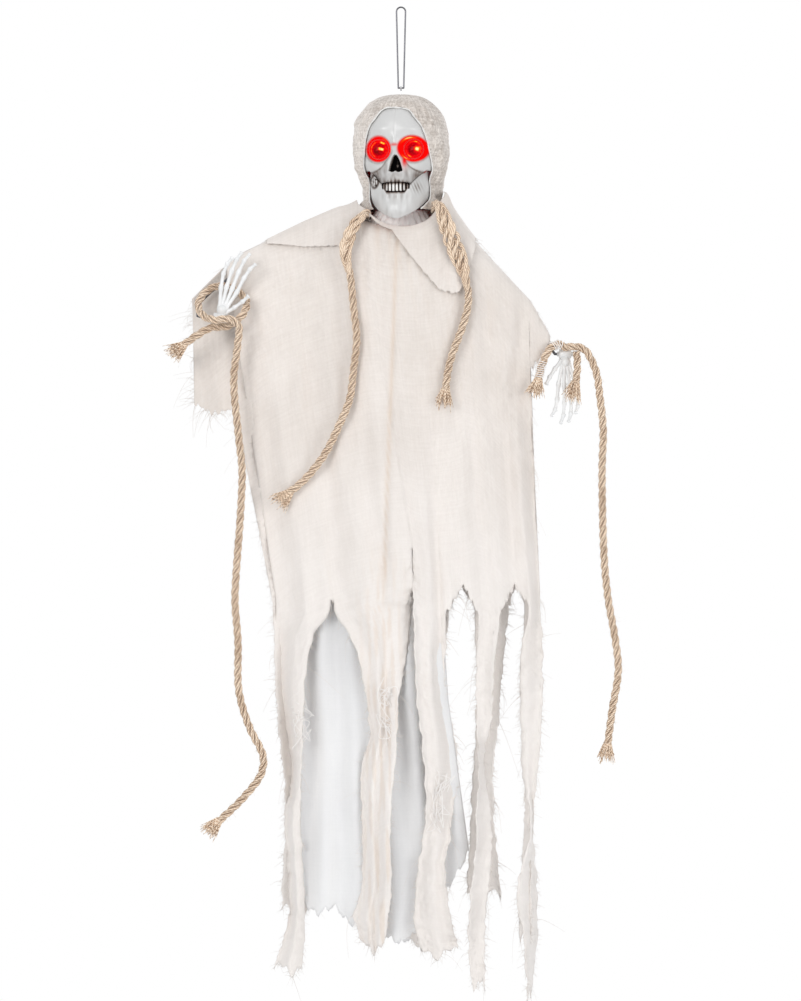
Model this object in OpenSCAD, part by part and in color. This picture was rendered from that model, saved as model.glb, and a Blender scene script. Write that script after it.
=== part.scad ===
// Animated hanging skeleton ghost: a skull with a geared jaw and lit eyes, on a hidden drive box with
// bendable wire arms, under a hood, a cape, a torn robe and a lining, with ropes at neck and wrists.
// Millimetres, +Z up, front faces -Y. The origin is where the hook bears inside the hanging loop.

/* [Hanger] */
// Thickness of the hanging wire
hanger_wire = 1.6; // [1.2:0.1:1.8]
// Clear width inside the top of the hanging loop
hanger_inside = 7.4; // [6:0.2:9]
// Drop from the hook to the pivot bar of the loop
hanger_drop = 80; // [70:1:100]

/* [Skull] */
// Widest breadth of the skull
skull_wide = 87; // [84:0.5:88]
// Depth of the face in front of the seam
skull_front = 46.5; // [46:0.25:47.5]
// Depth of the skull behind the seam
skull_rear = 54; // [52:0.5:55]
// Wall of the skull shells
skull_wall = 1.8; // [1.6:0.1:2]
// Turn of the head to its right, in degrees
head_turn = -8; // [-11:0.5:-5]
// Distance between the eye centres
eye_spacing = 34.8; // [33:0.2:36]
// Hole for each eye cup
eye_hole = 21.2; // [20:0.2:22]

/* [Jaw drive] */
// Breadth of the lower jaw
jaw_wide = 60; // [59:0.25:61]
// Wall of the lower jaw
jaw_wall = 2.2; // [2:0.1:2.4]
// Module of the gears
gear_module = 0.8; // [0.76:0.01:0.82]
// Diameter of the jaw axle
jaw_axle_d = 3; // [2.6:0.1:3.2]

/* [Drive box] */
// Breadth of the drive box
box_wide = 66; // [62:0.5:70]
// Height of the drive box
box_tall = 98; // [94:0.5:104]
// Diameter of a cell
cell_d = 14.5; // [13.5:0.1:14.5]
// Length of a cell
cell_long = 50.5; // [48:0.5:51]
// Outside diameter of the neck tube
neck_tube_d = 18; // [16:0.5:18.5]

/* [Arms and hands] */
// Diameter of the bendable arm wire
arm_wire_d = 3; // [2.4:0.1:3]
// Thickness of a finger bone between its joints
bone_d = 3.6; // [3.2:0.1:4]
// Thickness of a finger joint
joint_d = 5; // [4.6:0.1:5.4]

/* [Cloth and rope] */
// Thickness of the gauze and lining
cloth_t = 1.2; // [0.8:0.1:1.3]
// Depth of the folds of the robe near its hem
fold_deep = 8; // [4:0.5:9]
// Number of folds across the front of the robe
fold_count = 8; // [5:1:10]
// Diameter of the rope
rope_d = 8; // [6:0.25:8]

/* [Hidden] */
$fn = 40;
fit = 0.02;
run = 0.06;
gap = 0.3;
slim = 0.001;

// Heights below the hook with the usual 80 mm drop
drop_usual = 80;
crown_z = -90.4;
eye_z = -144.5;
skull_wide_usual = 87;
skull_front_usual = 46.5;
skull_rear_usual = 54;

// Half breadth of the skull by height
skull_half = [[-184, 24], [-174, 29], [-164, 35.5], [-153, 39], [-141, 42], [-129, 43.5], [-116, 41.5],
    [-106, 36], [-99, 29.5], [-94, 20.5], [-90.4, 7]];
// Depth of the face by height
face_depth = [[-184, 39.5], [-174, 41], [-164, 40], [-153, 41.5], [-141, 44], [-129, 46.5], [-116, 46],
    [-106, 40.5], [-99, 32.5], [-94, 22], [-90.4, 7]];
// Depth of the rear shell by height
rear_depth = [[-169, 40], [-156, 48], [-141, 53], [-126, 54], [-113, 49.5], [-104, 42], [-98, 32.5],
    [-94, 22], [-90.4, 7]];
// Half breadth and depth of the lower jaw by height
jaw_half = [[-213, 17.5], [-207, 23], [-198, 26.8], [-188, 29.3], [-170, 30], [-150, 29.5]];
jaw_depth = [[-213, 33.5], [-207, 38], [-198, 40], [-188, 39.5], [-170, 39], [-150, 39]];
// Upper edge of the lower jaw by angle from the front: under the teeth, then close below the cheekbones
jaw_edge = [[0, -188.4], [27, -188.4], [30, -186.4], [36, -178.9], [42, -176.2], [48, -173.1],
    [54, -170.6], [60, -168.5], [66, -167.6], [72, -163], [80, -152], [96, -152]];
// Hood by height: half breadth, depth behind, depth in front above the face, half width of the opening
hood_half = [[-203, 33], [-196, 37], [-186, 40.5], [-172, 42], [-155, 46], [-141, 47.3], [-129, 46.8],
    [-116, 44.8], [-106, 40.3], [-99, 34.4], [-94, 28.6], [-90, 21.5], [-88.2, 13.5], [-87.4, 5]];
hood_rear = [[-203, 34], [-196, 38], [-186, 45], [-172, 51], [-155, 55.5], [-141, 58], [-126, 59],
    [-113, 55.5], [-104, 48.5], [-98, 40], [-94, 31.5], [-90, 21.5], [-88.2, 13.5], [-87.4, 5]];
hood_front = [[-203, 30], [-141, 50], [-129, 50.5], [-116, 50], [-106, 45], [-99, 38], [-94, 30],
    [-90, 21.5], [-88.2, 13.5], [-87.4, 5]];
hood_open = [[-203, 22], [-198, 26], [-191, 30], [-186, 31.5], [-174, 31], [-164, 32.8], [-147, 31],
    [-134.5, 28.8], [-122, 24], [-112, 17.5], [-104.5, 12.8], [-101.5, 8], [-100, 5]];
hood_open_top = -100;

// Gear train: places of the three axes in the side view of the head, as [y, z]
jaw_axis = [-2, -160];
sector_teeth = 50;
small_teeth = 10;
wheel_teeth = 36;
pinion_teeth = 9;
sector_dir = 54;
pinion_dir = 115;
gear_axis = jaw_axis + gear_module * (sector_teeth + small_teeth) / 2 * [cos(sector_dir), sin(sector_dir)];
motor_axis = gear_axis + gear_module * (wheel_teeth + pinion_teeth) / 2 * [cos(pinion_dir),
    sin(pinion_dir)];
plate_left = -7;
plate_right = 12;
plate_t = 2;

// Drive box
box_top = -236;
box_front_y = -20;
box_back_y = 20;
box_wall = 2.4;
neck_r = neck_tube_d / 2;
bay_half = 1.5 * cell_d + 1.4;
bay_top = -254;
bay_tall = cell_long + 7.5;
cell_step = cell_d + 0.5;
cell_y = box_back_y - 2.2 - cell_d / 2;
door_t = 2;
door_half = bay_half + 2;
wire_y = 13.5;
wire_z = -229;
speaker_z = -272;
box_side = 8;
box_room = box_wide / 2 - box_side - gap;

// Wrists
wrist_left = [-180, -26, -311];
wrist_right = [164, 0, -346];
sleeve_r = arm_wire_d / 2 + 0.9;

// Shoulder line of the robe, as [x, z]
shoulder = [[-209, -291], [-179, -261], [-157, -244], [-133, -232.5], [-97, -218.5], [-62, -207],
    [-44, -205.5],
    [44, -205.5], [54, -209], [69, -228], [98, -259.5], [129, -292.5], [149, -327.5]];
neck_half = 44;
neck_low = 14;

// Columns of the robe front: x at the shoulder, x and z at the hem, x and z at the foot of a strip,
// cells to the next column, and whether a strip hangs between this column and the next
front_columns = [[-175, -125, -592, -126, -962, 5, true], [-120, -70, -592, -98, -962, 1, false],
    [-117, -67, -592, -45, -920, 6, true], [-46, 9, -540, -14, -930, 1, false],
    [-43, 12, -540, 14, -925, 5, true], [18, 44, -606, 58, -938, 2, false],
    [29, 62, -576, 62, -577, 2, false],
    [40, 77, -606, 70, -977, 3, true], [60, 98, -606, 85, -977, 2, false],
    [78, 113, -578, 113, -579, 2, false],
    [94, 127, -596, 124, -988, 3, true], [125, 139, -588, 132, -988, 1, false],
    [127, 128, -362, 128, -363, 1, false], [137, 138, -352, 138, -353, 1, false],
    [148.5, 149, -336, 149, -337, 0, false]];
// Columns of the robe back, in the same form
back_columns = [[-209, -207, -395, -207, -396, 2, false], [-196, -188, -406, -188, -407, 2, false],
    [-178, -166, -400, -166, -401, 1, false], [-168, -128, -596, -120, -905, 4, true],
    [-118, -84, -604, -88, -905, 1, false], [-106, -72, -580, -72, -581, 1, false],
    [-92, -58, -606, -66, -870, 3, true], [-50, -14, -600, -30, -870, 1, false],
    [-40, -2, -572, -2, -573, 1, false], [-28, 10, -604, 2, -940, 4, true],
    [20, 48, -604, 40, -940, 1, false],
    [32, 60, -578, 60, -579, 1, false], [46, 74, -600, 66, -890, 3, true],
    [84, 108, -600, 100, -890, 1, false],
    [94, 116, -574, 116, -575, 1, false], [104, 124, -596, 118, -930, 2, true],
    [125, 137, -590, 130, -930, 1, false], [128, 130, -360, 130, -361, 2, false],
    [148.5, 149, -336, 149, -337, 0, false]];
robe_rows = 10;
strip_rows = 6;
lining_foot = [-893, -905, -897, -915, -905, -925, -933, -920, -900, -870, -842];

// Route points of the ropes and arm wires
neck_route = [[-114, -22, -487], [-96, -24, -472], [-76, -28, -447], [-61, -30, -417], [-51, -32, -392],
    [-47, -33, -362], [-44, -33, -332], [-47, -32, -302], [-50, -32, -272], [-55, -34, -246],
    [-51, -35, -230],
    [-44, -34, -217], [-35.5, -27, -207.5], [-33.5, -14, -206.5], [-35.5, 1, -208],
    [-29, 13.6, -209.5], [-15.5, 20.8, -211],
    [0, 22.5, -211.5], [15.5, 20.8, -211], [29, 13.6, -209.5], [35.5, 1, -208.5], [34, -14, -206.5],
    [34, -25, -197.5],
    [38, -32, -201], [43.5, -34.5, -215], [49.5, -34.5, -232], [61, -29, -262], [67, -28, -292],
    [62, -29, -317], [51, -31, -347], [46, -32, -367], [44, -33, -387]];
wrist_left_route = [[-219, -30, -341], [-204, -31, -330], [-188, -28, -321], [-172, -28, -319.5],
    [-157, -27, -308], [-154, -19, -294], [-167, -16, -282], [-182, -16, -279], [-195, -19, -286],
    [-201, -27, -298], [-196, -37, -309], [-184, -43, -314], [-170, -42, -313], [-161, -35, -320],
    [-162, -29, -338], [-166, -25, -372], [-161, -24, -432], [-158, -24, -462], [-160, -23, -512],
    [-163, -22, -552], [-165, -22, -592], [-162, -22, -632], [-161, -22, -682], [-151, -22, -717],
    [-137, -23, -747], [-139, -24, -764], [-156, -23, -787], [-184, -22, -814]];
wrist_right_route = [[136, -14, -376], [141, -14, -356], [149, -12, -341], [157, -9, -337],
    [164, -6.8, -339.4],
    [174, -8, -339], [183, -9, -342], [194, -8, -362], [199, -6, -392], [202, -5, -422], [201, -4, -462],
    [203, -4, -552], [207, -4, -592], [214, -4, -632], [217, -4, -662], [211, -4, -702], [206, -4, -740]];
wrist_end_route = [[175, -12.5, -344.2], [175.5, -14, -357], [175, -13.5, -368], [173, -13, -379]];
left_arm_route = [[-12, 13.5, -229], [-30, 13, -229], [-60, 9, -230.5], [-129, 0, -238.5], [-190, -2, -284],
    [-200, -5, -294], [-203, -12, -302], [-202, -21, -309], [-196, -26, -311], [-190, -26, -311],
    [-171, -26, -311]];
right_arm_route = [[12, 13.5, -229], [30, 13, -229], [52, 9, -230], [64, 6, -236], [98, 1, -267],
    [131, 0, -302],
    [145, 0, -328], [150, 0, -341], [154, 0, -346], [158, 0, -346], [175, 0, -346]];

// Helpers for curves

function clamp(x) = max(0, min(1, x));
function ease(x) = let(t = clamp(x)) t * t * (3 - 2 * t);
function blend(a, b, t) = a + (b - a) * t;
function segment(x, table, i = 0) =
    (i >= len(table) - 2 || x < table[i + 1][0]) ? i : segment(x, table, i + 1);
function slope(table, i) =
    let(a = max(0, i - 1), b = min(len(table) - 1, i + 1))
    (table[b][1] - table[a][1]) / (table[b][0] - table[a][0]);
// Smooth curve through the points of a table, held at both ends
function curve(x, table) =
    let(i = segment(x, table), p = table[i], q = table[i + 1], h = q[0] - p[0], t = clamp((x - p[0]) / h))
    p[1] * (1 + 2 * t) * (1 - t) * (1 - t) + q[1] * t * t * (3 - 2 * t)
    + h * t * (1 - t) * (slope(table, i) * (1 - t) - slope(table, i + 1) * t);

function unit(v) = v / max(norm(v), slim);
function flat(lists) = [for (part = lists) each part];

// Closed shell around a grid of points. Rows run up or down, columns run across. The skin reaches "out" along
// the grid's normal and "back" against it. Cells for which hole(row, column) is true are left open.
module skin(grid, out, back, wrap = false, hole = function(i, j) false) {
    rows = len(grid);
    columns = len(grid[0]);
    cells = wrap ? columns : columns - 1;
    function at(i, j) = grid[i][(j + columns) % columns];
    function across(i, j) = wrap ? at(i, j + 1) - at(i, j - 1)
        : grid[i][min(j + 1, columns - 1)] - grid[i][max(j - 1, 0)];
    function along(i, j) = grid[min(i + 1, rows - 1)][j] - grid[max(i - 1, 0)][j];
    function normal(i, j) = unit(cross(across(i, j), along(i, j)));
    function live(i, j) = i >= 0 && i < rows - 1 && (wrap || (j >= 0 && j < cells))
        && !hole(i, (j + cells) % cells);
    function f(i, j) = i * columns + j % columns;
    function b(i, j) = rows * columns + f(i, j);
    points = concat(
        flat([for (i = [0 : rows - 1]) [for (j = [0 : columns - 1]) grid[i][j] + out * normal(i, j)]]),
        flat([for (i = [0 : rows - 1]) [for (j = [0 : columns - 1]) grid[i][j] - back * normal(i, j)]]));
    faces = [for (i = [0 : rows - 2]) for (j = [0 : cells - 1]) if (live(i, j))
        each concat(
            [[f(i, j), f(i + 1, j), f(i + 1, j + 1)], [f(i, j), f(i + 1, j + 1), f(i, j + 1)],
             [b(i, j), b(i + 1, j + 1), b(i + 1, j)], [b(i, j), b(i, j + 1), b(i + 1, j + 1)]],
            live(i, j - 1) ? [] : [[f(i + 1, j), f(i, j), b(i, j)], [f(i + 1, j), b(i, j), b(i + 1, j)]],
            live(i, j + 1) ? [] : [[f(i, j + 1), f(i + 1, j + 1), b(i + 1, j + 1)],
                                   [f(i, j + 1), b(i + 1, j + 1), b(i, j + 1)]],
            live(i - 1, j) ? [] : [[f(i, j), f(i, j + 1), b(i, j + 1)], [f(i, j), b(i, j + 1), b(i, j)]],
            live(i + 1, j) ? [] : [[f(i + 1, j + 1), f(i + 1, j), b(i + 1, j)],
                                   [f(i + 1, j + 1), b(i + 1, j), b(i + 1, j + 1)]])];
    polyhedron(points, faces);
}

// Point of a smooth line through the route points, at place s counted in points
function route_at(route, s) =
    let(n = len(route), i = min(floor(s), n - 2), t = s - i,
        p0 = route[max(i - 1, 0)], p1 = route[i], p2 = route[i + 1], p3 = route[min(i + 2, n - 1)])
    0.5 * (2 * p1 + (p2 - p0) * t + (2 * p0 - 5 * p1 + 4 * p2 - p3) * t * t
        + (3 * p1 - p0 - 3 * p2 + p3) * t * t * t);
function turned(u, t) = unit(u - t * (u * t));
function side_vectors(heads, i = 0, u = [0, 0, 0]) =
    i >= len(heads) ? []
    : let(first = abs(heads[0][1]) < 0.8 ? [0, 1, 0] : [1, 0, 0], v = turned(i == 0 ? first : u, heads[i]))
      concat([v], side_vectors(heads, i + 1, v));

// Round cord swept along a smooth line through the route points
module cord(route, diameter, rings_per_point, sides = 8) {
    count = (len(route) - 1) * rings_per_point;
    line = [for (k = [0 : count]) route_at(route, k / rings_per_point)];
    heads = [for (k = [0 : count]) unit(line[min(k + 1, count)] - line[max(k - 1, 0)])];
    side = side_vectors(heads);
    points = flat([for (k = [0 : count]) let(v = cross(heads[k], side[k]))
        [for (m = [0 : sides - 1]) line[k] + diameter / 2
            * (cos(360 * m / sides) * side[k] + sin(360 * m / sides) * v)]]);
    body = [for (k = [0 : count - 1]) for (m = [0 : sides - 1])
        let(a = k * sides + m, b = k * sides + (m + 1) % sides)
        each [[a, b + sides, b], [a, a + sides, b + sides]]];
    start = [for (m = [0 : sides - 1]) m];
    end = [for (m = [sides - 1 : -1 : 0]) count * sides + m];
    polyhedron(points, concat(body, [start, end]));
}

// Everything under the loop moves with the drop of the loop
module under_loop() {
    translate([0, 0, drop_usual - hanger_drop]) children();
}

// The head turns about the hanging line
module head() {
    under_loop() rotate([0, 0, head_turn]) children();
}

// Puts a shape drawn in the side view at [y, z] of the head, with its height along +X from x
module side_view(place, x) {
    translate([x, place[0], place[1]]) rotate([90, 0, 90]) children();
}

// Bar between two points
module bar(p, q, r) {
    d = q - p;
    translate(p) rotate([0, acos(d[2] / norm(d)), atan2(d[1], d[0])]) cylinder(h = norm(d), r = r);
}

// Hanging loop and crown

// Bent spring-steel hairpin. Its short bottom bar is the pivot in the eye bolt.
loop_big = hanger_inside / 2 + hanger_wire / 2;
loop_foot = 2.7;
loop_route = concat([[loop_foot, 0, -hanger_drop - hanger_wire / 4]],
    [for (a = [0 : 18 : 180]) [loop_big * cos(a), 0, hanger_wire / 2 - loop_big + loop_big * sin(a)]],
    [[-loop_foot, 0, -hanger_drop - hanger_wire / 4]]);
module hanging_loop() {
    color("DimGray") union() {
        cord(loop_route, hanger_wire, 1, 10);
        translate([-loop_foot - 0.4, 0, -hanger_drop]) rotate([0, 90, 0])
            cylinder(h = 2 * loop_foot + 0.8, r = hanger_wire / 2);
    }
}

// Eye bolt: flat eye with a cross hole on a threaded shank, with a collar on the crown plug
module eye_bolt() {
    color("Silver") under_loop() difference() {
        union() {
            translate([-0.7, 0, -80]) rotate([0, 90, 0]) cylinder(h = 1.4, r = 3.1);
            translate([0, 0, -106]) cylinder(h = 24, r = 0.69);
            translate([0, 0, -106]) cylinder(h = 17, r = 1.5);
            translate([0, 0, -89]) cylinder(h = 1, r = 3);
        }
        translate([-2, 0, -80]) rotate([0, 90, 0]) cylinder(h = 4, r = hanger_wire / 2 + run);
    }
}

// Hexagon nut and washer that hold the eye bolt under the crown plug
module crown_nut() {
    color("Silver") under_loop() difference() {
        union() {
            translate([0, 0, -98]) cylinder(h = 0.8, r = 5);
            translate([0, 0, -101]) cylinder(h = 3, r = 3.4, $fn = 6);
        }
        translate([0, 0, -102]) cylinder(h = 6, r = 1.5 + fit);
    }
}

// Turned plug that closes the crown of the skull and carries the eye bolt
module crown_plug() {
    color("WhiteSmoke") under_loop() difference() {
        union() {
            translate([0, 0, -90]) cylinder(h = 1, r = 9);
            translate([0, 0, -97.2]) cylinder(h = 7.3, r = 5.4);
        }
        translate([0, 0, -98]) cylinder(h = 10, r = 1.5 + fit);
    }
}

// Skull

function skull_x(z) = curve(z, skull_half) * skull_wide / skull_wide_usual;
function face_y(z) = curve(z, face_depth) * skull_front / skull_front_usual;
function rear_y(z) = curve(z, rear_depth) * skull_rear / skull_rear_usual;
function bell(x, w) = exp(-x * x / (w * w));
// Depth of a dent with a flat floor: 1 inside the floor, 0 outside the rim
function dent(d, floor_r, rim_r) = 1 - ease((d - floor_r) / (rim_r - floor_r));
// Relief of the face at [x, z], positive into the head
function face_relief(x, z) =
    let(ax = abs(x))
    10 * dent(norm([ax - eye_spacing / 2, (z - eye_z) * 1.05]), 9.5, 14.5)
    + 8 * dent(norm([x / 6.4, (z + 160) / 9]), 0.6, 1.15)
    + 4 * bell(ax - 25, 6) * bell(z + 172, 6)
    - 2.2 * bell(ax - 16, 10) * bell(z + 125.5, 5)
    - 3.2 * bell(ax - 27, 8) * bell(z + 157, 7)
    - 3.5 * bell(x, 4) * bell(z + 141, 8)
    - 2 * bell(x, 13) * bell(z + 173, 6);
// Lower edge of the face: the teeth line in front, the cheekbones at the sides
function face_edge(a) = blend(-177.5, -165, ease((abs(a) - 36) / 20));
function face_point(a, f) =
    let(z = blend(face_edge(a), crown_z, sin(90 * f)), x = skull_x(z) * sin(a))
    [x, -gap / 2 - face_y(z) * cos(a) + face_relief(x, z), z];
function rear_point(a, f) =
    let(z = blend(-169, crown_z, sin(90 * f)))
    [skull_x(z) * sin(a), gap / 2 - rear_y(z) * cos(a), z];

// Moulded face with eye sockets, nose and cheekbones
module skull_face() {
    color("Gainsboro") head() difference() {
        skin([for (i = [0 : 24]) [for (j = [0 : 30]) face_point(-90 + 6 * j, i / 24)]], 0, skull_wall);
        for (s = [-1, 1])
            translate([s * eye_spacing / 2, -15, eye_z]) rotate([90, 0, 0]) cylinder(h = 40,
                r = eye_hole / 2);
    }
}

// Moulded rear of the skull, open below for the neck and the jaw
module skull_back() {
    color("Gainsboro") head()
        skin([for (i = [0 : 14]) [for (j = [0 : 18]) rear_point(90 + 10 * j, i / 14)]], 0, skull_wall);
}

// Row of upper teeth under the edge of the face
module upper_teeth() {
    color("Ivory") head() for (a = [-27, -19.3, -11.6, -3.9, 3.9, 11.6, 19.3, 27])
        translate([26.8 * sin(a), -41 * cos(a), -186.5]) {
            cylinder(h = 2, r1 = 1.3, r2 = 1.65);
            translate([0, 0, 2]) cylinder(h = 6.6, r = 1.65);
        }
}

// Eyes

module eye_place(s) {
    head() translate([s * eye_spacing / 2, -33.5, eye_z]) rotate([-90, 0, 0]) children();
}

// Reflector cup behind each eye
module eye_cup(s) {
    r = eye_hole / 2 - gap;
    color("Silver") eye_place(s) rotate_extrude()
        polygon([[r, 0], [r, 8], [4.4, 13], [4.4, 15], [2.7, 15], [2.7, 11.5], [r - 1, 7], [r - 1, 0]]);
}
module eye_cup_left() { eye_cup(-1); }
module eye_cup_right() { eye_cup(1); }

// Clear red dome in each cup
module eye_lens(s) {
    rim = eye_hole / 2 - 2 * gap - 1;
    ball = rim + 1.2;
    back = sqrt(ball * ball - rim * rim);
    color("Red") eye_place(s) translate([0, 0, 4 + back]) difference() {
        sphere(ball);
        sphere(ball - 1.2);
        translate([-20, -20, -back]) cube(40);
    }
}
module eye_lens_left() { eye_lens(-1); }
module eye_lens_right() { eye_lens(1); }

// Light-emitting diode at the bottom of each cup
module eye_leds() {
    color("OrangeRed") for (s = [-1, 1]) eye_place(s) union() {
        translate([0, 0, 9]) cylinder(h = 8, r = 2.5);
        translate([0, 0, 9]) sphere(2.45);
    }
}

// Jaw drive

function involute(a) = tan(a) * 180 / PI - a;
// Half the angle of a tooth at radius r
function tooth_half(r, teeth) =
    let(pitch = gear_module * teeth / 2, base = pitch * cos(25))
    90 / teeth - 0.16 / pitch * 90 / PI + involute(25) - involute(acos(min(1, base / max(r, base))));
function polar(r, a) = [r * cos(a), r * sin(a)];
function tooth(teeth, a) =
    let(pitch = gear_module * teeth / 2, base = pitch * cos(25), root = pitch - 1.2 * gear_module,
        tip = pitch + 0.8 * gear_module, low = max(base, root + 0.05),
        radii = [root, low, blend(low, tip, 0.35), blend(low, tip, 0.7), tip])
    concat([for (r = radii) polar(r, a - tooth_half(r, teeth))],
        [for (k = [4 : -1 : 0]) polar(radii[k], a + tooth_half(radii[k], teeth))]);
module gear_outline(teeth, phase) {
    polygon([for (k = [0 : teeth - 1]) each tooth(teeth, phase + 360 * k / teeth)]);
}

// Moulded frame: base plate in the skull with two side plates for the axle, the gear pin and the motor
module gear_frame() {
    back_half = skull_x(-166.5) - skull_wall - 0.9;
    back_deep = rear_y(-166.5) - skull_wall - 0.9;
    color("DarkSlateGray") head() difference() {
        union() {
            translate([0, 0, -166.5]) linear_extrude(2.5)
                polygon(concat([[-20, 12], [-20, -14], [20, -14], [20, 12]],
                    [for (a = [20 : 10 : 160]) [back_half * cos(a), back_deep * sin(a)]]));
            translate([0, 0, -173]) cylinder(h = 7, r = neck_r - 2.3);
            for (x = [plate_left, plate_right]) side_view([0, 0], x) linear_extrude(plate_t) hull() {
                translate(jaw_axis) circle(4);
                translate(gear_axis) circle(4);
                translate(motor_axis) circle(x < 0 ? 11 : 4);
                translate([-8, -165]) square([30, 2]);
            }
        }
        side_view(jaw_axis, -20) cylinder(h = 50, r = jaw_axle_d / 2 + run);
        side_view(gear_axis, -20) cylinder(h = 50, r = 1.2 + fit);
        side_view(motor_axis, -20) cylinder(h = 30, r = 3.2);
        translate([0, 0, -174]) cylinder(h = 12, r = 3.6);
    }
}

// Small brushed motor on the left side plate
module jaw_motor() {
    color("LightSlateGray") head() difference() {
        union() {
            side_view(motor_axis, plate_left - 25.1) cylinder(h = 25, r = 10);
            side_view(motor_axis, plate_left - 1) cylinder(h = 2.6, r = 3);
            side_view(motor_axis, plate_left - 27) cylinder(h = 2, r = 4);
        }
        side_view(motor_axis, plate_left - 10) cylinder(h = 12, r = 1 + run);
    }
}

module motor_shaft() {
    color("Silver") head() side_view(motor_axis, plate_left - 9) cylinder(h = 19, r = 1);
}

module motor_pinion() {
    color("Khaki") head() side_view(motor_axis, -2.5) linear_extrude(5.5) difference() {
        gear_outline(pinion_teeth, pinion_dir + 180 - 180 / pinion_teeth);
        circle(1 + fit);
    }
}

module gear_pin() {
    color("Silver") head() side_view(gear_axis,
        plate_left) cylinder(h = plate_right + plate_t - plate_left, r = 1.2);
}

// Wheel and small gear in one moulding
module reduction_gear() {
    color("Khaki") head() difference() {
        union() {
            side_view(gear_axis, -1.5) linear_extrude(3.5) gear_outline(wheel_teeth, pinion_dir);
            side_view(gear_axis, 2) linear_extrude(7)
                gear_outline(small_teeth, sector_dir + 180 - 180 / small_teeth);
            side_view(gear_axis, plate_left + plate_t + 0.4) cylinder(h = 4, r = 2.4);
            side_view(gear_axis, 8.9) cylinder(h = plate_right - 9.3, r = 2.4);
        }
        side_view(gear_axis, -20) cylinder(h = 50, r = 1.2 + run);
    }
}

module jaw_axle() {
    reach = jaw_wide / 2 - 3;
    color("Silver") head() side_view(jaw_axis, -reach) cylinder(h = 2 * reach, r = jaw_axle_d / 2);
}

// Toothed sector pressed on the jaw axle
module sector_gear() {
    step = 360 / sector_teeth;
    color("Khaki") head() side_view(jaw_axis, 4) difference() {
        union() {
            linear_extrude(4) polygon(concat([[0, 0]],
                [for (k = [-4 : 4]) each tooth(sector_teeth, sector_dir + k * step)]));
            translate([0, 0, -1]) cylinder(h = 6, r = 4);
        }
        translate([0, 0, -2]) cylinder(h = 8, r = jaw_axle_d / 2 + fit);
    }
}

// Two levers pressed on the axle that carry the jaw
module jaw_arms() {
    out = jaw_wide / 2 - jaw_wall - 0.7;
    color("DarkSlateGray") head() for (s = [-1, 1]) difference() {
        union() {
            side_view(jaw_axis, s > 0 ? out - 3 : -out) cylinder(h = 3, r = 4.4);
            translate([s > 0 ? out - 3 : -out, jaw_axis[0] - 3.4, -184]) cube([3, 6.8, 24]);
        }
        side_view(jaw_axis, -40) cylinder(h = 80, r = jaw_axle_d / 2 + fit);
    }
}

function jaw_foot(a) = -213 + 24 * (1 - cos(a));
function jaw_rim(a) = lookup(abs(a), jaw_edge);
function jaw_point(a, f) =
    let(z = blend(jaw_foot(a), jaw_rim(a), f), w = curve(z, jaw_half) * jaw_wide / 60)
    [w * sin(a), jaw_axis[0] - curve(z, jaw_depth) * cos(a), z];

// Moulded lower jaw that drops about the axle
module jaw() {
    color("WhiteSmoke") head()
        skin([for (i = [0 : 9]) [for (j = [0 : 32]) jaw_point(-96 + 6 * j, i / 9)]], 0, jaw_wall);
}

// Neck and drive box

module neck_tube() {
    color("Black") under_loop() difference() {
        union() {
            translate([0, 0, -246]) cylinder(h = 79.4, r = neck_r);
            translate([0, 0, -242.5]) cylinder(h = 3, r = neck_r + 2.4);
        }
        translate([0, 0, -247]) cylinder(h = 82, r = neck_r - 2);
    }
}

module neck_room() {
    translate([0, 0, -246.5]) cylinder(h = 20, r = neck_r + 0.1);
    translate([0, 0, -242.8]) cylinder(h = 3.6, r = neck_r + 2.6);
}

// Places of the four box screws
module screw_places() {
    for (x = [-1, 1]) for (z = [box_top - 14, box_top - box_tall + 4])
        translate([x * (box_wide / 2 - 4), 0, z]) rotate([-90, 0, 0]) children();
}

// Front half of the drive box with the speaker grille and the switch slot
module box_front() {
    low = box_top - box_tall;
    color("Black") under_loop() difference() {
        translate([-box_wide / 2, box_front_y, low]) cube([box_wide, -box_front_y - 0.1, box_tall]);
        translate([-box_wide / 2 + box_side, box_front_y + box_wall, low + box_wall])
            cube([box_wide - 2 * box_side, 40, box_tall - box_wall - 12]);
        for (k = [-3 : 3]) translate([k * 4.4 - 1.2, box_front_y - 1, speaker_z - 13]) cube([2.4, 6, 26]);
        translate([-5, -12, low - 1]) cube([10, 4.2, 6]);
        neck_room();
        screw_places() translate([0, 0, -12]) cylinder(h = 14, r = 1.25 + fit);
    }
}

// Rear half with the battery bay, the door track and the wire lug
module box_back() {
    low = box_top - box_tall;
    color("Black") under_loop() difference() {
        union() {
            translate([-box_wide / 2, 0.1, low]) cube([box_wide, box_back_y - 0.1, box_tall]);
            translate([-12, wire_y - 3.4, box_top - slim]) cube([24, 6.8, 11]);
        }
        translate([-bay_half, cell_y - cell_d / 2 - 0.3, bay_top - bay_tall]) cube([2 * bay_half, 40,
            bay_tall]);
        translate([-door_half - gap, box_back_y - door_t - 0.1, low - 1])
            cube([2 * (door_half + gap), 10, bay_top + 2 + gap - low + 1]);
        translate([-20, wire_y, wire_z]) rotate([0, 90, 0]) cylinder(h = 40, r = arm_wire_d / 2 + 0.1);
        neck_room();
        screw_places() translate([0, 0, -1]) cylinder(h = 40, r = 1.25 + fit);
        screw_places() translate([0, 0, box_back_y - 2.1]) cylinder(h = 5, r = 2.6);
    }
}

module box_screws() {
    color("Silver") under_loop() screw_places() union() {
        translate([0, 0, -10]) cylinder(h = box_back_y + 9, r = 1.25);
        translate([0, 0, box_back_y - 2]) cylinder(h = 1.8, r = 2.4);
    }
}

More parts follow.
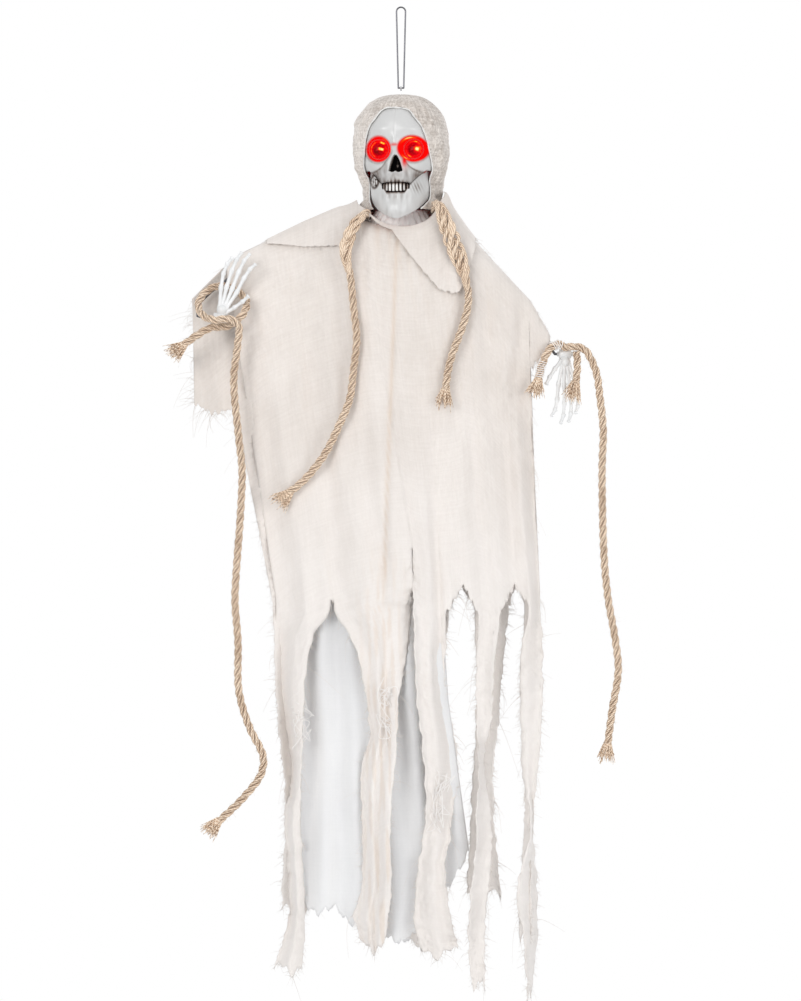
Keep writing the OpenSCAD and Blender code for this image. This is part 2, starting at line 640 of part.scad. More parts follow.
module speaker() {
    color("DarkGray") under_loop() translate([0, box_front_y + box_wall + 0.2, speaker_z]) rotate([-90,
        0, 0])
        rotate_extrude() polygon([[0, 4], [6, 4], [16, 0.6], [16, 0], [18, 0], [18, 1.6], [9, 8],
            [9, 12], [0, 12]]);
}

module circuit_board() {
    low = box_top - box_tall;
    color("ForestGreen") under_loop() difference() {
        translate([-box_room, -6, low + 14]) cube([2 * box_room, 1.6, 22]);
        for (x = [-19, 19]) translate([x, -8, low + 25]) rotate([-90, 0, 0]) cylinder(h = 6, r = 1.2);
    }
}

module switch_body() {
    low = box_top - box_tall;
    color("DimGray") under_loop() translate([-7, -14, low + 5]) cube([14, 8.2, 6]);
}

// Sliding knob of the on-off switch, in its slot under the box
module switch_knob() {
    low = box_top - box_tall;
    color("Red") under_loop() translate([-2, -9.9, 0]) union() {
        translate([-2.8, -1.8, low - 4]) cube([5.6, 3.6, 7]);
        translate([-4.2, -3, low + box_wall + 0.2]) cube([8.4, 6, 1.6]);
    }
}

module cells() {
    color("SteelBlue") under_loop() for (k = [-1 : 1])
        translate([k * cell_step, cell_y, bay_top - bay_tall + 5.5]) {
            cylinder(h = cell_long - 1.4, r = cell_d / 2);
            translate([0, 0, cell_long - 1.4 - slim]) cylinder(h = 1.4, r = 2.7);
        }
}

// Spring cones under the cells and plates over them
module cell_contacts() {
    color("Silver") under_loop() for (k = [-1 : 1]) {
        translate([k * cell_step, cell_y, bay_top - bay_tall + 0.1]) cylinder(h = 5.2, r1 = 5, r2 = 2.5);
        translate([k * cell_step - 5, cell_y - 4, bay_top - 0.7]) cube([10, 8, 0.6]);
    }
}

// Battery door that slides down in its track
module battery_door() {
    color("Black") under_loop() translate([-door_half, box_back_y - door_t, bay_top - bay_tall - 2])
        cube([2 * door_half, door_t - 0.1, bay_tall + 4]);
}

// Arms and hands

module arm_wires() {
    color("DimGray") under_loop() {
        cord(left_arm_route, arm_wire_d, 1, 10);
        cord(right_arm_route, arm_wire_d, 1, 10);
    }
}

// Plastic sleeve on the end of each wire, the pivot of the hand
module wrist_sleeves() {
    color("WhiteSmoke") under_loop() for (p = [wrist_left, wrist_right])
        translate(p + [-8, 0, 0]) rotate([0, 90, 0]) difference() {
            cylinder(h = 16, r = sleeve_r);
            translate([0, 0, -1]) cylinder(h = 18, r = arm_wire_d / 2 + 0.05);
        }
}

// Finger joints of one hand, thumb last, from the palm to the tip
fingers = [
    [[-3, -0.5, 9], [-8, -1, 29], [-10, -2, 43], [-9, -5, 53], [-6, -9, 60]],
    [[-1.2, -0.5, 10], [-2.8, -1, 31], [-3, -2, 48], [-1.5, -5, 60], [1.5, -9, 68]],
    [[1.2, -0.5, 10], [3, -1, 31.5], [4, -2, 49], [6, -5, 61], [9.5, -9, 69]],
    [[3, -0.5, 9], [8.5, -1, 29.5], [11, -2, 45], [14, -5, 55], [18, -9, 61]],
    [[4, -0.5, 6], [11, -2, 14], [17, -5, 22], [21, -8, 29]]];
module hand(tilt) {
    difference() {
        union() {
            rotate([0, 90, 0]) translate([0, 0, -6]) cylinder(h = 12, r = 5);
            rotate([0, tilt, 0]) {
                translate([0, 0, 8]) sphere(5.6);
                for (line = fingers) for (k = [0 : len(line) - 2]) {
                    bar(line[k], line[k + 1], bone_d / 2 - 0.05 * k);
                    translate(line[k + 1]) sphere(joint_d / 2 - 0.12 * k);
                }
            }
        }
        rotate([0, 90, 0]) translate([0, 0, -20]) cylinder(h = 40, r = sleeve_r + run);
    }
}

module hand_left() {
    color("White") under_loop() translate(wrist_left) hand(18);
}
module hand_right() {
    color("White") under_loop() translate(wrist_right) hand(176);
}

// Cloth

// Radius of an ellipse with half axes p across and q along, at angle a from the front
function oval(p, q, a) = 1 / norm([sin(a) / p, cos(a) / q]);
function hood_reach(a, z) = oval(curve(z, hood_half), curve(z, abs(a) > 90 ? hood_rear : hood_front), a);
// Angle of the edge of the face opening, or half a cell where the hood is closed in front
hood_cells = 30;
function hood_edge(z) =
    z > hood_open_top ? 180 / hood_cells
    : max(180 / hood_cells, asin(min(0.97, curve(z, hood_open) / (oval(skull_x(max(z, -184)),
        face_y(max(z, -184)), 50)))));
function hood_point(j, z) =
    let(edge = hood_edge(z), a = edge + (360 - 2 * edge) * j / (hood_cells - 1), b = a > 180 ? a - 360 : a,
        near = oval(max(skull_x(max(z, -184)), z < -165 ? jaw_wide / 2 - 1 : 0), face_y(max(z, -184)),
            b) + 2.2,
        t = z > hood_open_top ? 1 : ease((abs(b) - edge) / 34),
        r = max(blend(near, hood_reach(b, z), t), z > -186 ? near : 0))
    [r * sin(b), -r * cos(b), z];
hood_levels = [-203, -196, -186, -174, -160, -146, -132, -119, -109, -103, -100, -97, -94, -91.5, -89.4,
    -88, -87.4];

// Gathered hood with its face opening
module hood() {
    color("Linen") head()
        skin([for (z = hood_levels) [for (j = [0 : hood_cells - 1]) hood_point(j, z)]],
            cloth_t / 2, cloth_t / 2,
            true, function(i, j) j == hood_cells - 1 && hood_levels[i] < hood_open_top - slim);
}

function shoulder_z(x) =
    lookup(x, shoulder) - neck_low * sqrt(max(0, 1 - pow(x / neck_half, 2)));
// How far the robe stands from the middle plane, d below the shoulder line and inside from its side seam
function robe_depth(x_top, x, d, inside) =
    let(top = 1.4 + 17 * sqrt(max(0, 1 - pow(x_top / neck_half, 2))), near = ease(inside / 32),
        side = near + (1 - near) * blend(0.6, 0.12, ease((d - 60) / 90)),
        body = (10 + 21 * bell(x, 75) + 6 * clamp(d / 500)) * side)
    top + (body - top) * (1 - exp(-d / 7));
function fold(u, d, count) =
    (0.3 + 0.7 * clamp((d - 120) / 200)) * clamp(d / 60) * (0.5 - 0.5 * cos(360 * count * u));
// Columns with the cells between them filled in evenly
function filled(columns) = concat(
    [for (k = [0 : len(columns) - 2]) for (m = [0 : columns[k][5] - 1]) let(t = m / columns[k][5])
        concat([for (q = [0 : 4]) blend(columns[k][q], columns[k + 1][q], t)], [columns[k][6] ? 1 : 0])],
    [columns[len(columns) - 1]]);
function robe_point(c, row, u, inside, side, count) =
    let(z0 = shoulder_z(c[0]), f = min(row / robe_rows, 1), g = max(0, (row - robe_rows) / strip_rows),
        e = f * (0.35 + 0.65 * f),
        x = row <= robe_rows ? blend(c[0], c[1], e) : blend(c[1], c[3], g),
        z = row <= robe_rows ? blend(z0, c[2], e) : blend(c[2], c[4], g), d = z0 - z,
        deep = fold_deep * fold(u, d, count) * ease(inside / 25))
    [x, side * (robe_depth(c[0], x, d, inside) - deep), z];
// One panel. Its seams are the places of its two side seams along the shoulder line
module robe_panel(columns, seams, side, count) {
    full = filled(columns);
    x0 = full[0][0];
    x1 = full[len(full) - 1][0];
    skin([for (i = [0 : robe_rows + strip_rows]) [for (c = full)
        robe_point(c, i, (c[0] - x0) / (x1 - x0), min(c[0] - seams[0], seams[1] - c[0]), side, count)]],
        cloth_t / 2, cloth_t / 2, false, function(i, j) i >= robe_rows && full[j][5] == 0);
}

// Front of the robe with its right sleeve and five torn strips
module robe_front() {
    color("AntiqueWhite") under_loop() robe_panel(front_columns, [-175, 125], -1, fold_count);
}

// Back of the robe with both sleeves and its own strips
module robe_back() {
    color("AntiqueWhite") under_loop() robe_panel(back_columns, [-168, 125], 1, fold_count);
}

// Gathered collar round the neck, inside the neckline of the robe, by height: half breadth and half depth
collar_half = [[-222, 37], [-216, 33], [-209, 27.5], [-203, 24.5]];
collar_depth = [[-222, 17], [-216, 16.8], [-209, 16.2], [-203, 15.5]];
module collar() {
    color("Linen") under_loop()
        skin([for (z = [-222, -216, -209, -203]) [for (j = [0 : 23]) let(a = 15 * j)
            [lookup(z, collar_half) * sin(a), -lookup(z, collar_depth) * cos(a), z]]],
            cloth_t / 2, cloth_t / 2, true);
}

// Lower edge of the cape in front and behind, as distance below the shoulder line
cape_front_hem = [[-134, 5], [-97, 24], [-58, 36], [-51, 30], [-44.5, 14], [-36, 6], [-8, 5], [20, 40],
    [40, 72], [56, 40], [74, 6]];
cape_back_hem = [[-134, 5], [-97, 30], [-50, 60], [0, 70], [40, 60], [74, 6]];
// How far the cape stands up from the shoulder line beside the neck, in front and behind
cape_front_rise = [[-134, -1], [-97, 3], [-70, 6], [-58, 8], [-51, 10.5], [-44.5, 13], [-36, 0], [36, 0],
    [44.5, 20], [51, 12], [58, 5], [66, 2], [74, 0]];
cape_back_rise = [[-134, -1], [-97, 3], [-70, 6], [-58, 8], [-51, 10.5], [-44.5, 13], [-36, 12], [0, 8],
    [36, 13], [44.5, 20], [51, 12], [58, 5], [66, 2], [74, 0]];
cape_x = [-134, -122, -110, -97, -84, -71, -58, -51, -44.5, -36, -24, -12, 0, 12, 24, 36, 44.5, 51, 58,
    66, 74];
// Places down the cape from the rear hem over the shoulder to the front hem
cape_steps = [-1, -0.75, -0.5, -0.25, -0.02, 0.02, 0.25, 0.5, 0.75, 1];
function cape_point(x, s) =
    let(hem = lookup(x, s < 0 ? cape_back_hem : cape_front_hem),
        rise = lookup(x, s < 0 ? cape_back_rise : cape_front_rise),
        over = cloth_t + 1.2 + 1.8 * ease((x - 46) / 10),
        down = abs(s) * hem, d = down + 5 * sqrt(max(0, 1 - pow(x / neck_half, 2))),
        reach = robe_depth(x, x, d, 60) + over - 0.6 * (1 - cos(40 * x)) * 0.3)
    [x, sign(s) * -reach, shoulder_z(x) + over - d + rise * exp(-down / 10)];

// Shoulder cape below the hood
module cape() {
    color("Linen") under_loop()
        skin([for (s = cape_steps) [for (x = cape_x) cape_point(x, s)]], cloth_t / 2, cloth_t / 2, false,
            function(i, j) i == 4 && j >= 8 && j < 16);
}

// White lining that hangs inside the robe
module lining() {
    count = len(lining_foot) - 1;
    color("White") under_loop()
        skin([for (i = [0 : 14]) [for (j = [0 : 2 * count])
            let(f = i / 14, u = j / (2 * count), foot = blend(lining_foot[floor(j / 2)],
                lining_foot[ceil(j / 2)], 0.5),
                z = blend(-227, foot, f), x = blend(-34 + 68 * u, -101 + 170 * u, ease((-z - 330) / 300)),
                y = blend(-21.8, -5, ease((-z - 338) / 90)) + 3 * ease((-z - 400) / 200) * sin(360 * 5 * u))
            [x, y, z]]], cloth_t / 3, cloth_t / 3);
}

// Ropes

// Rope round the neck with both ends hanging in front
module neck_rope() {
    color("Peru") under_loop() cord(neck_route, rope_d, 1);
}
// Rope tied round the left wrist, with a short and a long end
module wrist_rope_left() {
    color("Peru") under_loop() cord(wrist_left_route, rope_d, 1);
}
// Rope tied over the right cuff, with its long end
module wrist_rope_right() {
    color("Peru") under_loop() cord(wrist_right_route, rope_d, 1);
}
// Short end of the right wrist rope, below its knot
module wrist_rope_end() {
    color("Peru") under_loop() cord(wrist_end_route, rope_d, 1);
}

hanging_loop();
eye_bolt();
crown_nut();
crown_plug();
skull_face();
skull_back();
upper_teeth();
eye_cup_left();
eye_cup_right();
eye_lens_left();
eye_lens_right();
eye_leds();
gear_frame();
jaw_motor();
motor_shaft();
motor_pinion();
gear_pin();
reduction_gear();
jaw_axle();
sector_gear();
jaw_arms();
jaw();
neck_tube();
box_front();
box_back();
box_screws();
speaker();
circuit_board();
switch_body();
switch_knob();
cells();
cell_contacts();
battery_door();
arm_wires();
wrist_sleeves();
hand_left();
hand_right();
hood();
collar();
cape();
robe_front();
robe_back();
lining();
neck_rope();
wrist_rope_left();
wrist_rope_right();
wrist_rope_end();
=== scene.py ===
import math

import bpy
import numpy as np
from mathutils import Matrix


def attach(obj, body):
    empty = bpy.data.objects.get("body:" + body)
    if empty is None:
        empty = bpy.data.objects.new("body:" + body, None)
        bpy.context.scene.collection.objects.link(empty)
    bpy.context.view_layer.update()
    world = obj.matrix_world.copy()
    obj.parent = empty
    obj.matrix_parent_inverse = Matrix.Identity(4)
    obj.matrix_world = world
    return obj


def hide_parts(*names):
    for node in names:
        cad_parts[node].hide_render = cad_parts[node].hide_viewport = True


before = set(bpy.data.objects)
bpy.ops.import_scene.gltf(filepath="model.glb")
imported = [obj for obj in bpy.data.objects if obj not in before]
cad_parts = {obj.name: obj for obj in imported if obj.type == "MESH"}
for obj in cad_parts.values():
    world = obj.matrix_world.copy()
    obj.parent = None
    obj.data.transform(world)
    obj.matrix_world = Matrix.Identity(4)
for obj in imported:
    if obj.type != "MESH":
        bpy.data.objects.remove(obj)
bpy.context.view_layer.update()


# Studio. The ghost hangs well above a pale floor, before a plain white ground, in soft light from both
# sides, from above and from behind. The camera stands straight in front of the robe, level with its middle.

def start_finish(name, colour, roughness, **sockets):
    """New material with one Principled shader. Each further socket is named with _ in place of spaces."""
    material = bpy.data.materials.new(name)
    material.use_nodes = True
    shader = material.node_tree.nodes["Principled BSDF"]
    for socket, value in {"Base_Color": (*colour, 1), "Roughness": roughness, **sockets}.items():
        shader.inputs[socket.replace("_", " ")].default_value = value
    return material, material.node_tree, shader


def add_node(tree, kind, *inputs, out=0, **settings):
    """Output of one new shader node. Inputs come in order: a socket is linked, None leaves one alone."""
    node = tree.nodes.new("ShaderNode" + kind)
    for name, value in settings.items():
        setattr(node, name, value)
    for socket, value in zip(node.inputs, inputs):
        if isinstance(value, bpy.types.NodeSocket):
            tree.links.new(value, socket)
        elif value is not None:
            socket.default_value = value
    return node.outputs[out]


def maths(tree, operation, *inputs, clamp=False):
    """Output of one arithmetic node."""
    return add_node(tree, "Math", *inputs, operation=operation, use_clamp=clamp)


def noise(tree, place, scale, detail, rough=0.5):
    """Uneven value from 0 to 1 over a place, with a scale in lumps to the unit."""
    return add_node(tree, "TexNoise", place, None, scale, detail, rough)


def ramp(tree, value, *stops):
    """Colour by a value from 0 to 1, blended between stops of a position and a colour."""
    tone = add_node(tree, "ValToRGB", value)
    elements = tone.node.color_ramp.elements
    for element, (position, colour) in ((elements[0], stops[0]), (elements[1], stops[-1])):
        element.position = position
        element.color = (*colour, 1)
    for position, colour in stops[1:-1]:
        elements.new(position).color = (*colour, 1)
    return tone


def drive(tree, shader, **sockets):
    """Links outputs to the shader's sockets, named with _ in place of spaces."""
    for socket, value in sockets.items():
        tree.links.new(value, shader.inputs[socket.replace("_", " ")])


def new_piece(name, points, faces, material, uv=None, **shares):
    """Mesh object from an array of points in metres and its faces. uv has one row for each point, and each
    further array is kept as a named attribute of the points."""
    mesh = bpy.data.meshes.new(name)
    mesh.from_pydata(np.asarray(points).reshape(-1, 3).tolist(), [], faces)
    mesh.polygons.foreach_set("use_smooth", np.ones(len(mesh.polygons), bool))
    if uv is not None:
        corners = np.empty(len(mesh.loops), np.int64)
        mesh.loops.foreach_get("vertex_index", corners)
        layer = mesh.uv_layers.new(name="cloth")
        layer.data.foreach_set("uv", np.asarray(uv, float).reshape(-1, 2)[corners].ravel())
    for share, values in shares.items():
        mesh.attributes.new(share, "FLOAT", "POINT").data.foreach_set("value", np.ravel(values))
    mesh.materials.append(material)
    mesh.update()
    piece = bpy.data.objects.new(name, mesh)
    bpy.context.collection.objects.link(piece)
    return piece


camera_far = 3.6
picture_tall = 1.001
picture_middle = (-0.0005, -0.4925)
lens = bpy.data.cameras.new("camera")
lens.sensor_fit = "VERTICAL"
lens.sensor_height = 24
lens.lens = lens.sensor_height * camera_far / picture_tall
camera = bpy.data.objects.new("camera", lens)
camera.location = (picture_middle[0], -camera_far, picture_middle[1])
camera.rotation_euler = (math.pi / 2, 0, 0)
bpy.context.collection.objects.link(camera)
bpy.context.scene.camera = camera
bpy.context.scene.view_settings.view_transform = "Standard"

floor_z = -1.25
floor_half = 1.6
floor_finish, tree, shader = start_finish("pale_floor", (0.86, 0.86, 0.86), 0.7)
floor_tone = ramp(tree, noise(tree, None, 6.0, 2.0), (0, (0.83, 0.83, 0.83)), (1, (0.88, 0.88, 0.88)))
drive(tree, shader, Base_Color=floor_tone)
floor_corners = [(x * floor_half, y * floor_half, floor_z) for x, y in ((-1, -1), (1, -1), (1, 1), (-1, 1))]
floor = new_piece("floor", floor_corners, [(0, 1, 2, 3)], floor_finish)


def soft_lamp(name, place, aim, width, power):
    """Square lamp that faces the aim point."""
    lamp = bpy.data.lights.new(name, "AREA")
    lamp.size = width
    lamp.energy = power
    holder = bpy.data.objects.new(name, lamp)
    away = np.subtract(place, aim)
    holder.location = place
    holder.rotation_euler = (math.acos(away[2] / np.linalg.norm(away)), 0,
                             math.atan2(away[1], away[0]) + math.pi / 2)
    bpy.context.collection.objects.link(holder)


soft_lamp("key_lamp", (-1.4, -2.5, 0.3), (0, 0, -0.45), 1.2, 31)
soft_lamp("fill_lamp", (1.9, -1.9, -0.3), (0, 0, -0.5), 1.4, 19)
soft_lamp("top_lamp", (0.2, 0.3, 1.5), (0, 0, -0.4), 1.2, 6)
soft_lamp("rear_lamp", (0.9, 1.9, 0.1), (0, 0, -0.5), 1.2, 18)

world = bpy.data.worlds.new("studio")
world.use_nodes = True
bpy.context.scene.world = world
ground = world.node_tree
ground.nodes.clear()
camera_ray, glossy_ray, clear_ray = (add_node(ground, "LightPath", out="Is %s Ray" % kind)
                                     for kind in ("Camera", "Glossy", "Transmission"))
seen = maths(ground, "MAXIMUM", maths(ground, "MAXIMUM", camera_ray, glossy_ray), clear_ray)
room_light = add_node(ground, "Background", (0.93, 0.96, 1.0, 1), 0.62)
white_ground = add_node(ground, "Background", (1, 1, 1, 1), 1.0)
shown = add_node(ground, "MixShader", seen, room_light, white_ground)
ground.links.new(shown, ground.nodes.new("ShaderNodeOutputWorld").inputs[0])


# Ropes. Three-strand laid jute, 8 mm thick, tan, cut with a blade and left to fray. One hangs round the
# neck like a scarf, one is tied round each wrist. Loose fibres stand off the strands all along.

def way_along(line):
    """Distance from the start of a line to each of its points."""
    return np.concatenate([[0], np.cumsum(np.linalg.norm(np.diff(line, axis=0), axis=1))])


def points_at(line, way):
    """Points of a line at given distances from its start."""
    return np.stack([np.interp(way, way_along(line), line[:, i]) for i in range(3)], axis=-1)


def smooth_line(route, step):
    """Line through the route points, resampled at even steps.

    Each stretch is the curve through its two points and their two neighbours whose parameter grows with the
    square root of the distance between points, so that it doesn't swing out where the points are uneven.
    """
    route = np.asarray(route, float)
    points = np.vstack([2 * route[0] - route[1], route, 2 * route[-1] - route[-2]])
    gaps = np.sqrt(np.linalg.norm(np.diff(points, axis=0), axis=1))
    knots = np.concatenate([[0], np.cumsum(gaps)])
    k = [knots[i:len(knots) - 3 + i, None, None] for i in range(4)]
    p = [points[i:len(points) - 3 + i, None, :] for i in range(4)]
    t = k[1] + (k[2] - k[1]) * np.linspace(0, 1, 40)[None, :, None]

    def between(one, two, low, high):
        """The first point at the low knot and the second at the high one."""
        return (one * (high - t) + two * (t - low)) / (high - low)

    a, b, c = (between(p[i], p[i + 1], k[i], k[i + 1]) for i in range(3))
    line = between(between(a, b, k[0], k[2]), between(b, c, k[1], k[3]), k[1], k[2]).reshape(-1, 3)
    length = way_along(line)[-1]
    return points_at(line, np.linspace(0, length, max(8, int(round(length / step))) + 1))


def unit(v):
    """Vectors scaled to length one."""
    return v / np.maximum(np.linalg.norm(v, axis=-1, keepdims=True), 1e-12)


def turning_frame(line):
    """Unit vectors along, beside and across a line, carried along it with the least turning."""
    along = unit(np.gradient(line, axis=0))
    beside = np.empty_like(line)
    hold = np.array([0.0, 1, 0]) if abs(along[0, 1]) < 0.8 else np.array([1.0, 0, 0])
    for i, ahead in enumerate(along):
        hold = unit(hold - ahead * (hold @ ahead))
        beside[i] = hold
    return along, beside, np.cross(along, beside)


def tube_faces(rings, sides):
    """Faces of a closed tube, numbered ring by ring: quads between rings and one face on each end."""
    ring = np.arange(rings - 1)[:, None] * sides
    side = np.arange(sides)[None, :]
    nxt = (side + 1) % sides
    near, far = ring + side, ring + nxt
    quads = np.stack([near, far, far + sides, near + sides], axis=-1).reshape(-1, 4)
    ends = [list(range(sides))[::-1], [(rings - 1) * sides + i for i in range(sides)]]
    return quads.tolist() + ends


def join_parts(parts):
    """Puts several parts of points, faces and uv into one, with the point numbers moved up. Where a part
    has no uv it is 0."""
    points, faces, uvs, count = [], [], [], 0
    for part_points, part_faces, *part_uv in parts:
        part_points = np.asarray(part_points).reshape(-1, 3)
        faces += [[i + count for i in face] for face in part_faces]
        points.append(part_points)
        uvs.append(np.reshape(part_uv, (-1, 2)) if part_uv else np.zeros((len(part_points), 2)))
        count += len(part_points)
    return np.vstack(points), faces, np.vstack(uvs)


def rings(middle, beside, across, radius, sides):
    """Circle of points round each middle point, in the plane of its two unit vectors."""
    around = np.linspace(0, 2 * np.pi, sides, endpoint=False)[:, None]
    circle = np.cos(around) * beside[..., None, :] + np.sin(around) * across[..., None, :]
    return middle[..., None, :] + radius[..., None] * circle


def tube_along(line, radius, sides=12):
    """Closed tube of one radius for each point of a line."""
    along, beside, across = turning_frame(line)
    return rings(line, beside, across, np.reshape(radius, (-1, 1)), sides), tube_faces(len(line), sides)


def square_to(v, along):
    """Unit vectors: what is left of v at right angles to along."""
    return unit(v - along * np.sum(v * along, axis=1, keepdims=True))


def laid_strands(line, radius, sides=14):
    """Three strands of a laid rope round a line.

    The middle of each strand is a helix, a third of a turn from the next, at 0.53 of the rope's radius. Round
    it goes a circle of 0.47 of the radius, with shallow ridges for the yarns, which wind the other way.
    """
    strand_lay, yarn_lay, yarns = 0.030, 0.021, 5
    along, beside, across = turning_frame(line)
    way = way_along(line)
    around = np.linspace(0, 2 * np.pi, sides, endpoint=False)[None, :]
    parts = []
    for strand in range(3):
        turn = 2 * np.pi * (way / strand_lay + strand / 3)
        out = np.cos(turn)[:, None] * beside + np.sin(turn)[:, None] * across
        middle = line + 0.53 * radius * out
        ahead = unit(np.gradient(middle, axis=0))
        normal = square_to(out, ahead)
        ridge = 1 + 0.07 * np.cos(yarns * (around - 2 * np.pi * way[:, None] / yarn_lay))
        swell = 0.47 * radius * ridge * (1 + 0.05 * np.sin(way * 190 + 2.1 * strand))[:, None]
        points = rings(middle, normal, np.cross(ahead, normal), swell, sides)
        uv = np.stack(np.broadcast_arrays(around / (2 * np.pi), way[:, None]), axis=-1)
        parts.append((points, tube_faces(len(line), sides), uv))
    return join_parts(parts)


def threads(start, lean, bend, radius, knots, sides=3):
    """Tapered threads. Each leaves its start along lean, and bend grows with the square of the way."""
    start, lean, bend = start[:, None, :], lean[:, None, :], bend[:, None, :]
    t = np.linspace(0, 1, knots)[None, :, None]
    ahead = unit(lean + 2 * bend * t)
    beside = unit(np.cross(ahead, np.array([0.31, 0.86, 0.40])))
    size = np.reshape(radius, (-1, 1, 1)) * (1 - 0.65 * t)
    points = rings(start + lean * t + bend * t * t, beside, np.cross(ahead, beside), size, sides)
    one = tube_faces(knots, sides)
    faces = [[i + k * knots * sides for i in face] for k in range(len(start)) for face in one]
    own = np.arange(len(start))[:, None, None]
    uv = np.stack(np.broadcast_arrays(own + np.zeros(sides), 0.02 * t + 0.173 * own), axis=-1)
    return points.reshape(-1, 3), faces, uv.reshape(-1, 2)


def stretched(tree, place, scale):
    """Place multiplied by a scale along each axis."""
    return add_node(tree, "Mapping", place, None, None, scale)


def tint(tree, share, one, two):
    """Mix of two colours by the share of the second."""
    return add_node(tree, "Mix", share, *[None] * 5, one, two, out=2, data_type="RGBA")


def bump(tree, height, strength, depth):
    """Normal of a surface that a height roughens, over a depth in metres."""
    normal = add_node(tree, "Bump", strength, depth)
    tree.links.new(height, normal.node.inputs["Height"])
    return normal


jute, tree, shader = start_finish("jute", (0.50, 0.33, 0.18), 0.85, Sheen_Weight=0.25)
flat = add_node(tree, "TexCoord", out="UV")
turn, way = (add_node(tree, "SeparateXYZ", flat, out=axis) for axis in ("X", "Y"))
yarn = maths(tree, "COSINE", maths(tree, "MULTIPLY_ADD", turn, 31.4, maths(tree, "MULTIPLY", way, -1496.0)))
fibre = noise(tree, stretched(tree, flat, (9.0, 220.0, 1.0)), 3.0, 5.0, 0.65)
drift = noise(tree, add_node(tree, "TexCoord", out="Object"), 70.0, 3.0)
mix = maths(tree, "MULTIPLY_ADD", drift, 0.5, maths(tree, "MULTIPLY_ADD", yarn, 0.20, fibre))
tone = ramp(tree, mix, (0.50, (0.34, 0.215, 0.13)), (0.70, (0.74, 0.545, 0.385)), (0.96, (0.97, 0.81, 0.64)))
# Painted shade: each strand is darker on its inner side, where it turns into the grooves between strands.
outward = maths(tree, "COSINE", maths(tree, "MULTIPLY", turn, 2 * np.pi))
groove = maths(tree, "MULTIPLY_ADD", outward, -0.9, 0.44, clamp=True)
deep = tint(tree, groove, tone, (0.22, 0.125, 0.07, 1))
drive(tree, shader, Base_Color=deep, Normal=bump(tree, mix, 0.55, 0.0006))

rope_d = 0.008
rope_step = 0.0014
neck_route = np.array([
    [-114, -22, -487], [-96, -24, -472], [-76, -28, -447], [-61, -30, -417], [-51, -32, -392],
    [-47, -33, -362], [-44, -33, -332], [-47, -32, -302], [-50, -32, -272], [-55, -34, -246],
    [-51, -35, -230], [-44, -34, -217],
    [-35.5, -27, -207.5], [-33.5, -14, -206.5], [-35.5, 1, -208], [-29, 13.6, -209.5], [-15.5, 20.8, -211],
    [0, 22.5, -211.5], [15.5, 20.8, -211], [29, 13.6, -209.5], [35.5, 1, -208.5], [34, -14, -206.5],
    [34, -25, -197.5], [38, -32, -201], [43.5, -34.5, -215], [49.5, -34.5, -232], [61, -29, -262],
    [67, -28, -292], [62, -29, -317], [51, -31, -347], [46, -32, -367], [44, -33, -387]]) / 1000
wrist_left_route = np.array([
    [-219, -30, -341], [-204, -31, -330], [-188, -28, -321], [-172, -28, -319.5], [-157, -27, -308],
    [-154, -19, -294], [-167, -16, -282], [-182, -16, -279], [-195, -19, -286], [-201, -27, -298],
    [-196, -37, -309], [-184, -43, -314], [-170, -42, -313], [-161, -35, -320], [-162, -29, -338],
    [-166, -25, -372], [-161, -24, -432], [-158, -24, -462], [-160, -23, -512], [-163, -22, -552],
    [-165, -22, -592], [-162, -22, -632], [-161, -22, -682], [-151, -22, -717], [-137, -23, -747],
    [-139, -24, -764], [-156, -23, -787], [-184, -22, -814]]) / 1000
wrist_right_route = np.array([
    [136, -14, -376], [141, -14, -356], [149, -12, -341], [157, -9, -337], [164, -6.8, -339.4],
    [174, -8, -339],
    [183, -9, -342], [194, -8, -362], [199, -6, -392], [202, -5, -422], [201, -4, -462], [203, -4, -552],
    [207, -4, -592], [214, -4, -632], [217, -4, -662], [211, -4, -702], [206, -4, -740]]) / 1000
wrist_end_route = np.array([
    [175, -12.5, -344.2], [175.5, -14, -357], [175, -13.5, -368], [173, -13, -379]]) / 1000
fibre_draw = np.random.default_rng(11)


def rope_fibres(line, ends):
    """Loose fibres of a rope: short ones that stand off all along, and a brush at each cut end, 0 or -1.

    A short fibre leaves the rope's surface outwards and a little ahead. A brush fibre leaves the end's
    section along the rope and spreads with its distance from the middle.
    """
    along, beside, across = turning_frame(line)
    spacing, brush = 0.0016, 80
    count = int(way_along(line)[-1] / spacing)
    at = fibre_draw.integers(1, len(line) - 1, count)
    turn = fibre_draw.uniform(0, 2 * np.pi, count)[:, None]
    out = np.cos(turn) * beside[at] + np.sin(turn) * across[at]
    start = line[at] + 0.46 * rope_d * out
    lean = (out * fibre_draw.uniform(0.3, 1.0, (count, 1)) + along[at] * fibre_draw.uniform(-1, 1, (count, 1))
            ) * fibre_draw.uniform(0.0015, 0.0045, (count, 1))
    bend = fibre_draw.normal(0, 0.0012, (count, 3)) - [0, 0, 0.0008]
    parts = [threads(start, lean, bend, fibre_draw.uniform(0.00006, 0.00013, count), 4)]
    for end in ends:
        head = along[end] if end else -along[end]
        reach = np.sqrt(fibre_draw.uniform(0, 1, (brush, 1)))
        turn = fibre_draw.uniform(0, 2 * np.pi, (brush, 1))
        spread = reach * (np.cos(turn) * beside[end] + np.sin(turn) * across[end])
        start = line[end] - 0.006 * head + 0.42 * rope_d * spread
        lean = (head + 0.42 * spread + fibre_draw.normal(0, 0.08, (brush, 3))) * fibre_draw.uniform(
            0.011, 0.019, (brush, 1))
        bend = fibre_draw.normal(0, 0.0013, (brush, 3)) - [0, 0, 0.001]
        parts.append(threads(start, lean, bend, fibre_draw.uniform(0.0005, 0.0009, brush), 5, 6))
    return join_parts(parts)


